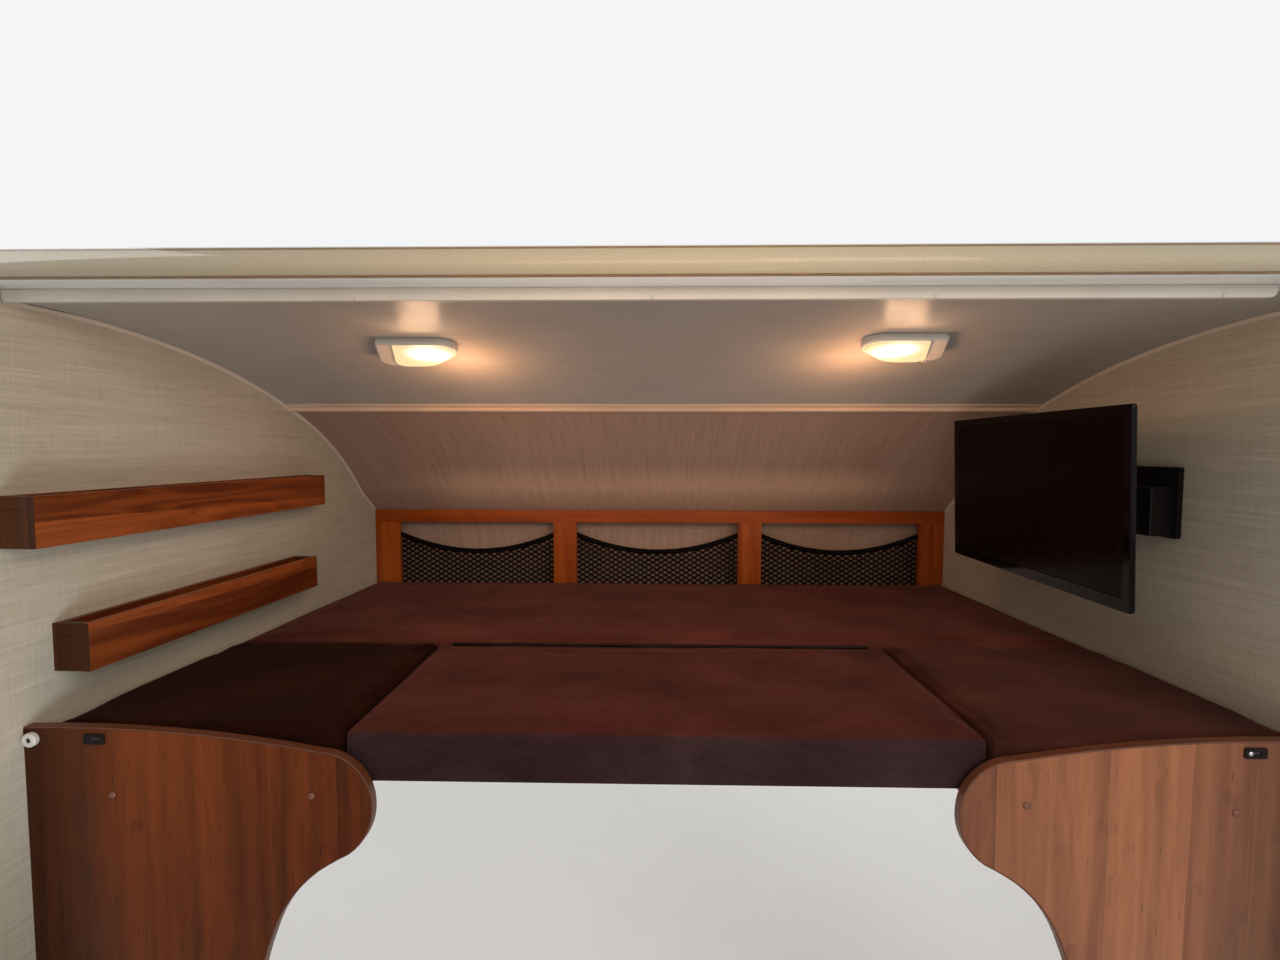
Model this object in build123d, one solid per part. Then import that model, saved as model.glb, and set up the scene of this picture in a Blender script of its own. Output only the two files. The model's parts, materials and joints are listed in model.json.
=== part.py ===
from build123d import *
from math import cos, radians, sin, tan
import os

# Over-cab sleeping berth section of a motorhome, in millimetres: X right, Y forward, Z up.
# The origin is the centre of the roof panel's rear end face, where the section joins the coach roof.
# A name that ends in _up is a height above the cushion tops; one that ends in _y is a distance forward.

# Shell
roof_thickness = 50.0
nose_thickness = 45.0
wall_thickness = 38.0
belly_thickness = 40.0
liner_thickness = 4.0
coach_ceiling_up = 790.0
floor_drop = 1290.0
inner_half_width = 1160.0
wall_taper = 2.5
wall_leg_width = 110.0
partition_y = 60.0
ceiling_up = 776.0
ceiling_sagitta = 42.0
trim_y = 814.0
trim_up = 638.0
front_sagitta = 32.0
knee_from_nose = 186.0
knee_up = 357.0
pocket_top_from_nose = 80.0
pocket_top_up = 272.0
nose_y = 1386.0
nose_knee_up = 70.0
nose_sagitta = 25.0
outer_roof_sagitta = 45.0
outer_front_sagitta = 24.0
outer_nose_sagitta = 42.0
outer_nose_up = -10.0
outer_corner_radius = 60.0
trim_normal = 68.0
trim_thickness = 56.0
knee_normal = 48.0
knee_thickness = 70.0

# Mouldings
strip_height = 22.0
strip_depth = 12.0
strip_left_gap = 10.0
strip_right_gap = 146.0
strip_end_radius = 11.0
front_trim_width = 14.0
front_trim_depth = 9.0
front_trim_tilt = 22.0
side_trim_width = 12.0
side_trim_thickness = 3.0
moulding_width = 30.0
moulding_thickness = 2.0

# Berth
cushion_thickness = 80.0
cushion_radius = 14.0
cushion_corner_radius = 7.0
cushion_gap = 3.0
board_thickness = 19.0
centre_half_width = 586.0
centre_front_y = 94.0
seam_y = 566.0
wing_gap = 5.0
rail_from_nose = 94.0
lip_thickness = 6.0
ledge_width = 40.0
ledge_thickness = 30.0
rest_gap = 0.3
belly_inset = 9.0

# Piano hinge of the bunk's centre section
knuckle_radius = 4.0
pin_radius = 2.0
running_clearance = 0.05
hinge_drop = 5.0
leaf_thickness = 2.5
leaf_offset = 6.0
hinge_half_length = 550.0
knuckle_count = 11
knuckle_end_gap = 0.5
knuckle_slot_gap = 0.5

# Partitions
partition_thickness = 18.0
partition_top_up = 10.0
partition_allowance = 10.0
lobe_x = 524.0
edge_band = 3.0
# Each row is one arc of the lobe and the leg, from the wall down: X beyond the lobe's tip and height above
# the cushion tops, first at the middle of the arc, then at its end.
lobe_arcs = (
    ((360, 4), (96, -29)),
    ((30, -57), (0, -125)),
    ((9, -177), (46, -221)),
    ((74, -236), (101, -253)),
    ((152, -304), (190, -378)),
    ((216, -465), (225, -560)),
)
plate_from_wall = 132.0
plate_up = -10.0
plate_width = 38.0
plate_height = 19.0
plate_thickness = 3.0
plate_radius = 3.0
plate_slot_width = 17.0
plate_slot_height = 6.5
button_from_wall = 17.0
button_up = -11.0
button_radius = 13.0
button_height = 9.0
button_chamfer = 2.0
button_well_radius = 5.0
button_well_depth = 4.5

# Pocket rail and nets
rail_thickness = 18.0
rail_top_up = 277.0
rail_bar = 48.0
rail_foot = 54.0
stile_width = 91.0
centre_pocket_half = 313.5
end_stile = 95.0
net_thickness = 2.0
net_edge_up = 190.0
net_sag = 72.0
net_overlap = 14.0
net_foot_gap = 10.0

# Trough shelves on the left wall
shelf_depth = 73.0
shelf_height = 92.0
shelf_board = 15.0
shelf_floor = 10.0
upper_shelf_up = 340.0
upper_shelf_y = 36.0
upper_shelf_length = 824.0
lower_shelf_up = 92.0
lower_shelf_y = 117.0
lower_shelf_length = 693.0

# Reading lamps on the alcove ceiling
lamp_x = 632.0
lamp_near_y = 339.0
lamp_shift_x = -12.5
lamp_shift_y = 12.5
lamp_lean = 4.0
lamp_depth = 130.0
lamp_height = 14.0
lamp_edge_radius = 6.0
lamp_seat = 18.0
# The outline of a lamp, corner by corner: distance from the near corner of the blank end, distance across
# and the radius that rounds the corner.
lamp_outline = ((0, 0, 12), (172, 0, 38), (175, 60, 44), (98, lamp_depth, 90), (-44, lamp_depth, 30))
lens_near_radius = 5.0
lens_far_radius = 22.0
lens_height = 5.0
lens_inset = 8.0
lens_start = 32.0
lens_sink = 4.0
lens_edge_radius = 3.0

# Television and its wall bracket
tv_from_wall = 299.0
tv_y = 447.0
tv_up = 408.0
tv_turn = 1.2
tv_lean = 2.0
tv_width = 640.0
tv_height = 388.0
tv_edge_depth = 12.0
tv_back_depth = 34.0
tv_bezel = 19.0
tv_chin = 7.0
tv_corner_radius = 5.0
tv_back_radius = 4.0
tv_hump_width = 358.0
tv_hump_height = 216.0
tv_hump_taper = 20.0
screen_depth = 2.0
screen_recess = 1.0
box_depth = 60.0
box_height = 110.0
box_length = 164.0
box_up = 378.0
box_radius = 4.0
back_plate_depth = 12.0
back_plate_height = 159.0
back_plate_length = 190.0
back_plate_up = 398.0
bracket_up = 394.0
swivel_from_box = 34.0
tilt_from_back = 20.0
barrel_radius = 13.0
barrel_ear_radius = 12.0
arm_height = 30.0
arm_width = 24.0
ear_thickness = 6.0
ear_clearance = 1.0
bracket_pin_radius = 5.0
barrel_height = 50.0
tongue_radius = 9.0
tongue_ear_radius = 8.0
neck_height = 14.0
head_plate = 100.0
head_plate_thickness = 4.0

# Clearance lamps along the nose
marker_length = 110.0
marker_height = 34.0
marker_depth = 20.0
marker_radius = 5.0
marker_lens = 84.0
marker_lens_margin = 6.0
marker_lens_height = 8.0
marker_lens_radius = 4.0
marker_spacing = 170.0
marker_outer_x = 1020.0

bed_z = -(coach_ceiling_up + roof_thickness / 2)
floor_z = bed_z - floor_drop
deck_top_up = -cushion_thickness
deck_bottom_up = deck_top_up - board_thickness
belly_bottom_up = deck_bottom_up - belly_thickness
strip_front_y = partition_y - strip_depth / 2
liner_start_y = strip_front_y + strip_depth
outer_nose_y = nose_y + nose_thickness
knee_y = nose_y - knee_from_nose
pocket_top_y = nose_y - pocket_top_from_nose
rail_y = nose_y - rail_from_nose
diagonal = cos(radians(45))
# Farther than the section reaches on any side, for the blocks that cut it.
beyond = inner_half_width + nose_y


def at(y, up):
    """A point of a side view, from its distance forward and its height above the cushion tops."""
    return (y, bed_z + up)


def out_from(y, up, angle, distance):
    """The point at a distance from (y, up), along a direction given as an angle above the Y axis."""
    return at(y + distance * cos(radians(angle)), up + distance * sin(radians(angle)))


def side_face(*edges):
    """A face drawn in side view: its own axes are Y and Z."""
    return Plane.YZ * make_face(Curve() + list(edges))


def full_width(face):
    """The side view swept over more than the width of the section."""
    return extrude(face, amount=beyond, both=True)


def front_solid(face, y, depth):
    """A face drawn in X and Z, set at y and given a depth forward."""
    return Pos(0, y, 0) * extrude(Plane.XZ * face, amount=-depth)


def block(x_range, y_range, up_range):
    """A box between two X values, two Y values and two heights above the cushion tops."""
    size = [high - low for low, high in (x_range, y_range, up_range)]
    centre = [(low + high) / 2 for low, high in (x_range, y_range, up_range)]
    return Pos(centre[0], centre[1], bed_z + centre[2]) * Box(*size)


def wall_x(y, inset=0.0):
    """Half the width between the side liners at y, less an inset on each side."""
    return inner_half_width - (y - partition_y) * tan(radians(wall_taper)) - inset


def between_walls(inset=0.0):
    """The tapered space between the side liners, less an inset on each side."""
    near = wall_x(-beyond, inset)
    far = wall_x(beyond, inset)
    plan = Polyline((-near, -beyond), (near, -beyond), (far, beyond), (-far, beyond), close=True)
    return extrude(make_face(plan), amount=beyond, both=True)


def inside_edges(shift=0.0):
    """The line of the room's lining from the ceiling strip to the deck, moved up and forward by a shift."""
    start = at(liner_start_y, ceiling_up + shift)
    trim = at(trim_y + shift, trim_up + shift)
    knee = at(knee_y + shift, knee_up + shift)
    pocket = at(pocket_top_y + shift, pocket_top_up + shift)
    nose = at(nose_y + shift, nose_knee_up + shift)
    foot = at(nose_y + shift, belly_bottom_up)
    return [
        SagittaArc(start, trim, ceiling_sagitta),
        SagittaArc(trim, knee, front_sagitta),
        Line(knee, pocket),
        SagittaArc(pocket, nose, nose_sagitta),
        Line(nose, foot),
    ]


def outside_edges():
    """The outer line of the roof and nose, from the joint to the belly."""
    joint = at(0, coach_ceiling_up + roof_thickness)
    trim = out_from(trim_y, trim_up, trim_normal, trim_thickness)
    knee = out_from(knee_y, knee_up, knee_normal, knee_thickness)
    nose = at(outer_nose_y, outer_nose_up)
    corner = at(outer_nose_y, belly_bottom_up + outer_corner_radius)
    bottom = at(outer_nose_y - outer_corner_radius, belly_bottom_up)
    return [
        SagittaArc(joint, trim, outer_roof_sagitta),
        SagittaArc(trim, knee, outer_front_sagitta),
        SagittaArc(knee, nose, outer_nose_sagitta),
        Line(nose, corner),
        RadiusArc(corner, bottom, outer_corner_radius),
    ]


def room_face(shift=0.0):
    """The side view of the room inside the lining, the step of the coach ceiling included."""
    step = at(liner_start_y, ceiling_up + shift)
    top = at(liner_start_y, coach_ceiling_up)
    edges = inside_edges(shift)
    foot = at(nose_y + shift, belly_bottom_up)
    return side_face(
        *edges,
        Polyline(foot, at(0, belly_bottom_up), at(0, coach_ceiling_up), top, step),
    )


def outer_face():
    """The side view of the whole section above the belly's underside."""
    bottom = at(outer_nose_y - outer_corner_radius, belly_bottom_up)
    joint = at(0, coach_ceiling_up + roof_thickness)
    return side_face(*outside_edges(), Polyline(bottom, at(0, belly_bottom_up), joint))


def leg_block():
    """The strip of wall that runs down to the coach floor beside the partition."""
    return block((-beyond, beyond), (0, wall_leg_width), (-floor_drop, belly_bottom_up))


def left_and_right(shape):
    """The two solids of a shape, left one first."""
    return sorted(shape.solids(), key=lambda solid: solid.center().X)


def on_left_wall(shape):
    """Carries a shape drawn against X = 0, Y along the wall from the partition, onto the left liner."""
    return Pos(-inner_half_width, partition_y, 0) * Rot(0, 0, -wall_taper) * shape


def on_right_wall(shape):
    """Carries a shape drawn against X = 0, Y along the wall from the partition, onto the right liner."""
    return Pos(inner_half_width, partition_y, 0) * Rot(0, 0, wall_taper) * shape


def shell_parts():
    """Side walls, liners, roof, nose and belly."""
    outline = full_width(outer_face())
    room = full_width(room_face())
    lined_room = full_width(room_face(liner_thickness))
    wall_band = between_walls(-liner_thickness - wall_thickness) - between_walls(-liner_thickness)
    liner_band = between_walls(-liner_thickness) - between_walls()
    walls = left_and_right((outline + leg_block()) & wall_band)
    liners = left_and_right((room + leg_block()) & liner_band)
    inner = between_walls(-liner_thickness)
    above_deck = block((-beyond, beyond), (liner_start_y, beyond), (deck_bottom_up, beyond))
    lining = (lined_room - room) & inner & above_deck
    behind_trim = block((-beyond, beyond), (-beyond, trim_y), (0, beyond))
    sandwich = (outline - lined_room) & inner
    belly_shape = block((-beyond, beyond), (partition_y + partition_thickness, beyond),
                        (belly_bottom_up, deck_bottom_up))
    opening_x = centre_half_width + wing_gap + belly_inset
    opening_y = seam_y + leaf_offset + belly_inset
    opening = block((-opening_x, opening_x), (-beyond, opening_y), (-beyond, beyond))
    belly = (lined_room & belly_shape & between_walls()) - opening
    return {
        "side_wall_left": walls[0],
        "side_wall_right": walls[1],
        "side_liner_left": liners[0],
        "side_liner_right": liners[1],
        "roof_panel": sandwich & behind_trim,
        "nose_panel": sandwich - behind_trim,
        "ceiling_liner": lining & behind_trim,
        "front_liner": lining - behind_trim,
        "belly_panel": belly,
    }


def moulding_parts():
    """Ceiling joint strip, trims at the lining's edges and the outside corner mouldings."""
    strip_bottom_up = coach_ceiling_up - strip_height
    strip = block((-inner_half_width + strip_left_gap, inner_half_width - strip_right_gap),
                  (strip_front_y, liner_start_y), (strip_bottom_up, coach_ceiling_up))
    strip = fillet(strip.edges().filter_by(Axis.Y).group_by(Axis.Z)[0], strip_end_radius)
    tilted = Pos(0, *at(trim_y, trim_up)) * Rot(-front_trim_tilt, 0, 0)
    bar = tilted * Box(2 * beyond, front_trim_width, 2 * front_trim_depth)
    front_trim = bar & full_width(room_face()) & between_walls(side_trim_thickness)
    room = full_width(room_face())
    smaller = Pos(0, -side_trim_width * diagonal, -side_trim_width * diagonal) * room
    band = (room - smaller) & block((-beyond, beyond), (liner_start_y, rail_y), (rail_top_up, ceiling_up))
    side_trims = band & (between_walls() - between_walls(side_trim_thickness))
    outline = full_width(outer_face())
    grown = Pos(0, moulding_thickness * diagonal, moulding_thickness * diagonal) * outline
    wall_out = -liner_thickness - wall_thickness
    above = block((-beyond, beyond), (0, beyond), (belly_bottom_up + outer_corner_radius, beyond))
    flange_top = (grown - outline) & (between_walls(wall_out - moulding_thickness)
                                      - between_walls(wall_out + moulding_width)) & above
    smaller_outline = Pos(0, -moulding_width * diagonal, -moulding_width * diagonal) * outline
    flange_side = (grown - smaller_outline) & (between_walls(wall_out - moulding_thickness)
                                               - between_walls(wall_out)) & above
    return {
        "ceiling_strip": strip,
        "front_trim": front_trim,
        "side_trims": side_trims,
        "corner_mouldings": flange_top + flange_side,
    }


def marker_parts():
    """Five clearance lamps across the nose: bases that follow the skin, and their lenses."""
    trim = out_from(trim_y, trim_up, trim_normal, trim_thickness)
    knee = out_from(knee_y, knee_up, knee_normal, knee_thickness)
    seat = SagittaArc(trim, knee, outer_front_sagitta) @ 0.5
    along = SagittaArc(trim, knee, outer_front_sagitta) % 0.5
    tilt = -along.get_angle(Vector(1, 0, 0))
    outline = full_width(outer_face())
    centres = (-marker_outer_x, -marker_spacing, 0, marker_spacing, marker_outer_x)
    bases = Part()
    lenses = Part()
    for x in centres:
        place = Pos(x, seat.X, seat.Y) * Rot(tilt, 0, 0)
        base = Box(marker_length, marker_height, 2 * marker_depth)
        base = fillet(base.edges().group_by(Axis.Z)[-1], marker_radius)
        lens = Box(marker_lens, marker_height - 2 * marker_lens_margin, marker_lens_height)
        lens = fillet(lens.edges().group_by(Axis.Z)[-1], marker_lens_radius)
        lenses += place * Pos(0, 0, marker_depth + marker_lens_height / 2) * lens
        bases += place * base - outline
    return {"clearance_lamps": bases, "clearance_lenses": lenses}


def berth_parts():
    """Decks, ledges, the hinged centre board and the four cushions."""
    deck_ups = (deck_bottom_up, deck_top_up)
    wing_x = centre_half_width + wing_gap
    deck_start_y = partition_y + partition_thickness
    leaf_back_y = seam_y + leaf_offset
    everything = full_width(room_face()) & between_walls()
    forward_deck = block((-beyond, beyond), (leaf_back_y, beyond), deck_ups) & everything
    wing = block((wing_x, beyond), (deck_start_y, leaf_back_y), deck_ups) & everything
    ledge_x = wing_x + belly_inset
    ledge_y = leaf_back_y + belly_inset
    ledge_ups = (deck_bottom_up - rest_gap - ledge_thickness, deck_bottom_up - rest_gap)
    ledges = block((-ledge_x, ledge_x), (deck_start_y, ledge_y), ledge_ups)
    ledges -= block((-ledge_x + ledge_width, ledge_x - ledge_width),
                    (-beyond, ledge_y - ledge_width), (-beyond, 0))
    board_back_y = seam_y - leaf_offset
    board = block((-centre_half_width + lip_thickness, centre_half_width - lip_thickness),
                  (centre_front_y + lip_thickness, board_back_y), deck_ups)
    centre = block((-centre_half_width, centre_half_width),
                   (centre_front_y, board_back_y - rest_gap), (deck_bottom_up, 0))
    centre = fillet(centre.edges().group_by(Axis.Z)[-1], cushion_radius)
    centre = fillet(centre.edges().filter_by(Axis.Z).group_by(Axis.Y)[0], cushion_corner_radius)
    well_x = centre_half_width - lip_thickness + rest_gap
    well_ys = (centre_front_y + lip_thickness - rest_gap, beyond)
    centre -= block((-well_x, well_x), well_ys, (-beyond, deck_top_up + rest_gap))
    cushion_ups = (deck_top_up + rest_gap, 0)
    cushion_room = between_walls(cushion_gap)
    forward = block((-beyond, beyond), (leaf_back_y + rest_gap, rail_y - rest_gap), cushion_ups)
    forward &= cushion_room
    forward = fillet(forward.edges().group_by(Axis.Z)[-1], cushion_radius)
    side = block((wing_x, beyond), (deck_start_y + rest_gap, leaf_back_y - wing_gap), cushion_ups)
    side &= cushion_room
    side = fillet(side.edges().group_by(Axis.Z)[-1], cushion_radius)
    return {
        "forward_deck": forward_deck,
        "wing_decks": wing + mirror(wing, about=Plane.YZ),
        "support_ledges": ledges,
        "centre_board": board,
        "centre_cushion": centre,
        "forward_cushion": forward,
        "side_cushion_left": mirror(side, about=Plane.YZ),
        "side_cushion_right": side,
    }


def hinge_parts():
    """A piano hinge whose leaves stand in the seam, so that its pin lies level with the cushion tops."""
    axis_z = bed_z - hinge_drop
    pitch = 2 * hinge_half_length / knuckle_count
    bore = Rot(0, 90, 0) * Cylinder(pin_radius + running_clearance, 2 * beyond)
    leaf_ups = (deck_bottom_up, -hinge_drop)
    plates = {
        "fixed": block((-hinge_half_length, hinge_half_length),
                       (seam_y + leaf_offset - leaf_thickness, seam_y + leaf_offset), leaf_ups),
        "moving": block((-hinge_half_length, hinge_half_length),
                        (seam_y - leaf_offset, seam_y - leaf_offset + leaf_thickness), leaf_ups),
    }
    leaves = dict(plates)
    for index in range(knuckle_count):
        name = ("fixed", "moving")[index % 2]
        other = ("moving", "fixed")[index % 2]
        x = -hinge_half_length + (index + 0.5) * pitch
        length = pitch - knuckle_end_gap
        knuckle = Pos(x, seam_y, axis_z) * Rot(0, 90, 0) * Cylinder(knuckle_radius, length)
        leaves[name] += knuckle
        slot = Box(pitch + knuckle_end_gap, 2 * (leaf_offset + knuckle_slot_gap),
                   2 * (knuckle_radius + knuckle_slot_gap))
        leaves[other] -= plates[other] & (Pos(x, seam_y, axis_z) * slot)
    carry = Pos(0, seam_y, axis_z) * bore
    pin = Pos(0, seam_y, axis_z) * Rot(0, 90, 0) * Cylinder(pin_radius, 2 * hinge_half_length)
    return {
        "hinge_fixed_leaf": leaves["fixed"] - carry,
        "hinge_moving_leaf": leaves["moving"] - carry,
        "hinge_pin": pin,
    }


def partition_face():
    """The right partition in front view: a lobe under the centre section, then a narrower leg."""
    side_x = inner_half_width + partition_allowance
    top = (side_x, bed_z + partition_top_up)
    edges = []
    start = top
    for middle, end in lobe_arcs:
        middle_point = (lobe_x + middle[0], bed_z + middle[1])
        end_point = (lobe_x + end[0], bed_z + end[1])
        edges.append(ThreePointArc(start, middle_point, end_point))
        start = end_point
    edges.append(Polyline(start, (start[0], floor_z), (side_x, floor_z), top))
    return make_face(Curve() + edges)


def partition_parts():
    """Both partitions with their edge bands, the catch plates and the stop button."""
    face = partition_face()
    core = offset(face, amount=-edge_band, kind=Kind.INTERSECTION)
    whole = front_solid(face, partition_y, partition_thickness)
    inner = front_solid(core, partition_y - partition_thickness, 3 * partition_thickness)
    foot = block((0, beyond), (-beyond, beyond), (-beyond, -floor_drop + 2 * edge_band))
    room = between_walls()
    band = ((whole - inner) - foot) & room
    board = (whole & room) - band
    plate_x = inner_half_width - plate_from_wall
    plate_place = Pos(plate_x, partition_y - plate_thickness / 2, bed_z + plate_up)
    plate = plate_place * Box(plate_width, plate_thickness, plate_height)
    plate = fillet(plate.edges().filter_by(Axis.Y), plate_radius)
    plate -= plate_place * Box(plate_slot_width, 2 * plate_thickness, plate_slot_height)
    button = Cylinder(button_radius, button_height)
    button = chamfer(button.edges().group_by(Axis.Z)[-1], button_chamfer)
    button -= Pos(0, 0, button_height / 2) * Cylinder(button_well_radius, 2 * button_well_depth)
    button_x = button_from_wall - inner_half_width
    button_place = Pos(button_x, partition_y - button_height / 2, bed_z + button_up)
    return {
        "partition_left": mirror(board, about=Plane.YZ),
        "partition_right": board,
        "edge_bands": band + mirror(band, about=Plane.YZ),
        "catch_plates": plate + mirror(plate, about=Plane.YZ),
        "stop_button": button_place * Rot(90, 0, 0) * button,
    }


def pocket_parts():
    """The pocket rail against the lining and the three net pockets behind it."""
    openings = (
        (-centre_pocket_half, centre_pocket_half),
        (centre_pocket_half + stile_width, wall_x(rail_y) - end_stile),
        (-wall_x(rail_y) + end_stile, -centre_pocket_half - stile_width),
    )
    rail_ys = (rail_y, rail_y + rail_thickness)
    rail = block((-beyond, beyond), rail_ys, (deck_top_up, rail_top_up))
    rail = rail & full_width(room_face()) & between_walls()
    bar_up = rail_top_up - rail_bar
    foot_up = deck_top_up + rail_foot
    nets = Part()
    for low, high in openings:
        rail -= block((low, high), (rail_y - rail_thickness, rail_y + 2 * rail_thickness), (foot_up, bar_up))
        left = (low - net_overlap, bed_z + net_edge_up)
        right = (high + net_overlap, bed_z + net_edge_up)
        middle = ((low + high) / 2, bed_z + net_edge_up - net_sag)
        bottom = bed_z + deck_top_up + net_foot_gap
        top = ThreePointArc(left, middle, right)
        sides = Polyline(right, (right[0], bottom), (left[0], bottom), left)
        nets += front_solid(make_face(Curve() + [top, sides]), rail_y + rail_thickness, net_thickness)
    return {"pocket_rail": rail, "pocket_nets": nets}


def trough_shelf(start_y, length, up):
    """A trough of boards on the left wall: floor, ends and a full-height front board."""
    low = bed_z + up
    along = start_y - partition_y
    centre = Pos(shelf_depth / 2, along + length / 2, low + shelf_height / 2)
    outer = centre * Box(shelf_depth, length, shelf_height)
    hollow = Box(shelf_depth - 2 * shelf_board, length - 2 * shelf_board, shelf_height)
    return on_left_wall(outer - centre * Pos(0, 0, shelf_floor) * hollow)


def rounded_outline(face, corners):
    """A flat outline with the corner nearest to each (x, y) rounded by its radius."""
    for x, y, radius in corners:
        corner = min(face.vertices(), key=lambda vertex: (vertex.X - x) ** 2 + (vertex.Y - y) ** 2)
        face = fillet(corner, radius)
    return face


def lamp_plans():
    """A reading lamp and its lens seen from below: a slanted blank end and a curved tip."""
    near, *tip, far = lamp_outline
    housing = make_face(Polyline(*[corner[:2] for corner in lamp_outline], close=True))
    lens_ends = [(x + lens_start, y) for x, y, radius in (far, near)]
    lens = make_face(Polyline(*[corner[:2] for corner in tip], *lens_ends, close=True))
    lens = offset(rounded_outline(lens, tip), amount=-lens_inset)
    rounding = zip(lens_ends, (lens_far_radius, lens_near_radius))
    lens = rounded_outline(lens, [(*end, radius) for end, radius in rounding])
    return (rounded_outline(housing, lamp_outline), lens)


def lamp_parts():
    """Two reading lamps that point to the middle, seated on the curved ceiling."""
    ceiling = inside_edges()[0]
    room = full_width(room_face())
    plans = lamp_plans()
    housings = Part()
    lenses = Part()
    for side in (-1, 1):
        near_y = lamp_near_y - side * lamp_shift_y
        near = ceiling @ ((near_y - liner_start_y) / (trim_y - liner_start_y))
        far = ceiling @ ((near_y + lamp_depth - liner_start_y) / (trim_y - liner_start_y))
        tilt = -(far - near).get_angle(Vector(1, 0, 0)) - lamp_lean
        outer, inner = plans if side < 0 else [mirror(plan, about=Plane.YZ) for plan in plans]
        place = Pos(side * lamp_x + lamp_shift_x, near.X, near.Y) * Rot(tilt, 0, 0) * Pos(0, 0, lamp_seat)
        housing = extrude(outer, amount=-(lamp_height + lamp_seat))
        housing = fillet(housing.edges().group_by(Axis.Z)[0], lamp_edge_radius)
        bowl = extrude(inner, amount=-(lens_sink + lens_height))
        bowl = fillet(bowl.edges().group_by(Axis.Z)[0], lens_edge_radius)
        bowl = Pos(0, 0, lens_sink - lamp_height - lamp_seat) * bowl
        housings += (place * (housing - bowl)) & room
        lenses += place * bowl
    return {"lamp_housings": housings, "lamp_lenses": lenses}


def tv_parts():
    """A flat television on a wall box, with a swivel arm and a tilting head."""
    bracket_z = bed_z + bracket_up
    screen_z = bed_z + tv_up
    box_face_x = wall_x(tv_y) - box_depth
    swivel_x = box_face_x - swivel_from_box
    tv_x = inner_half_width - tv_from_wall
    back_x = tv_x + tv_edge_depth + tv_back_depth
    tilt_x = back_x + tilt_from_back
    box_shape = Box(box_depth, box_length, box_height)
    box_shape = fillet(box_shape.edges().group_by(Axis.X)[0], box_radius)
    back_plate = Box(back_plate_depth, back_plate_length, back_plate_height)
    back_plate = fillet(back_plate.edges().filter_by(Axis.X), box_radius)
    fixed = Pos(-box_depth / 2, tv_y - partition_y, bed_z + box_up) * box_shape
    fixed += Pos(-back_plate_depth / 2, tv_y - partition_y, bed_z + back_plate_up) * back_plate
    wall_box = on_right_wall(fixed)
    ear_reach_x = swivel_x - barrel_radius
    ear_length = box_face_x + box_depth / 2 - ear_reach_x
    pivot = Pos(swivel_x, tv_y, bracket_z)
    for side in (-1, 1):
        ear_z = bracket_z + side * (barrel_height / 2 + ear_clearance + ear_thickness / 2)
        ear = Box(ear_length, 2 * barrel_radius, ear_thickness)
        ear = fillet(ear.edges().filter_by(Axis.Z).group_by(Axis.X)[0], barrel_ear_radius)
        wall_box += Pos(ear_reach_x + ear_length / 2, tv_y, ear_z) * ear
    bore = Cylinder(bracket_pin_radius + running_clearance, 4 * barrel_height)
    swivel_pin = pivot * Cylinder(bracket_pin_radius, barrel_height + 2 * (ear_clearance + ear_thickness))
    wall_box -= pivot * bore
    tilt_axis = Pos(tilt_x, tv_y, bracket_z) * Rot(90, 0, 0)
    arm = pivot * Cylinder(barrel_radius, barrel_height)
    arm += tilt_axis * Cylinder(tongue_radius, arm_width)
    bar = Box(swivel_x - tilt_x, arm_width, arm_height)
    clear = tilt_axis * Cylinder(tongue_radius + ear_thickness, 2 * arm_width)
    bar_place = Pos((tilt_x + swivel_x) / 2, tv_y, bracket_z)
    arm += bar_place * bar - clear
    arm += bar_place * Box(swivel_x - tilt_x, arm_width, neck_height)
    tilt_bore = tilt_axis * Cylinder(bracket_pin_radius + running_clearance, 4 * arm_width)
    arm -= pivot * bore
    arm -= tilt_bore
    head = Box(head_plate_thickness, head_plate, head_plate)
    head = Pos(back_x + head_plate_thickness / 2, tv_y, bracket_z) * head
    ear_reach = tilt_from_back + tongue_radius
    for side in (-1, 1):
        ear_y = tv_y + side * (arm_width / 2 + ear_clearance + ear_thickness / 2)
        ear = Box(ear_reach, ear_thickness, 2 * tongue_radius)
        ear = fillet(ear.edges().filter_by(Axis.Y).group_by(Axis.X)[-1], tongue_ear_radius)
        head += Pos(back_x + ear_reach / 2, ear_y, bracket_z) * ear
    head -= tilt_bore
    tilt_pin = tilt_axis * Cylinder(bracket_pin_radius, arm_width + 2 * (ear_clearance + ear_thickness))
    case = Pos(tv_x + tv_edge_depth / 2, tv_y, screen_z) * Box(tv_edge_depth, tv_width, tv_height)
    case = fillet(case.edges().filter_by(Axis.X), tv_corner_radius)
    case = fillet(case.edges().group_by(Axis.X)[-1], tv_back_radius)
    hump = Plane((tv_x + tv_edge_depth, tv_y, screen_z), x_dir=(0, 1, 0), z_dir=(1, 0, 0))
    hump_face = hump * Rectangle(tv_hump_width, tv_hump_height)
    case += extrude(hump_face, amount=tv_back_depth, taper=tv_hump_taper)
    screen_size = (tv_width - 2 * tv_bezel, tv_height - 2 * tv_bezel - tv_chin)
    screen_place = Pos(tv_x, tv_y, screen_z + tv_chin / 2)
    case -= screen_place * Box(2 * (screen_depth + screen_recess), *screen_size)
    screen = screen_place * Pos(screen_recess + screen_depth / 2, 0, 0) * Box(screen_depth, *screen_size)
    turned = pivot * Rot(0, 0, -tv_turn) * pivot.inverse()
    tilt_place = Pos(tilt_x, tv_y, bracket_z)
    leaned = turned * tilt_place * Rot(0, -tv_lean, 0) * tilt_place.inverse()
    return {
        "tv_wall_box": wall_box,
        "tv_swivel_pin": swivel_pin,
        "tv_arm": turned * arm,
        "tv_tilt_pin": turned * tilt_pin,
        "tv_head": leaned * head,
        "tv_case": leaned * case,
        "tv_screen": leaned * screen,
    }


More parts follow.
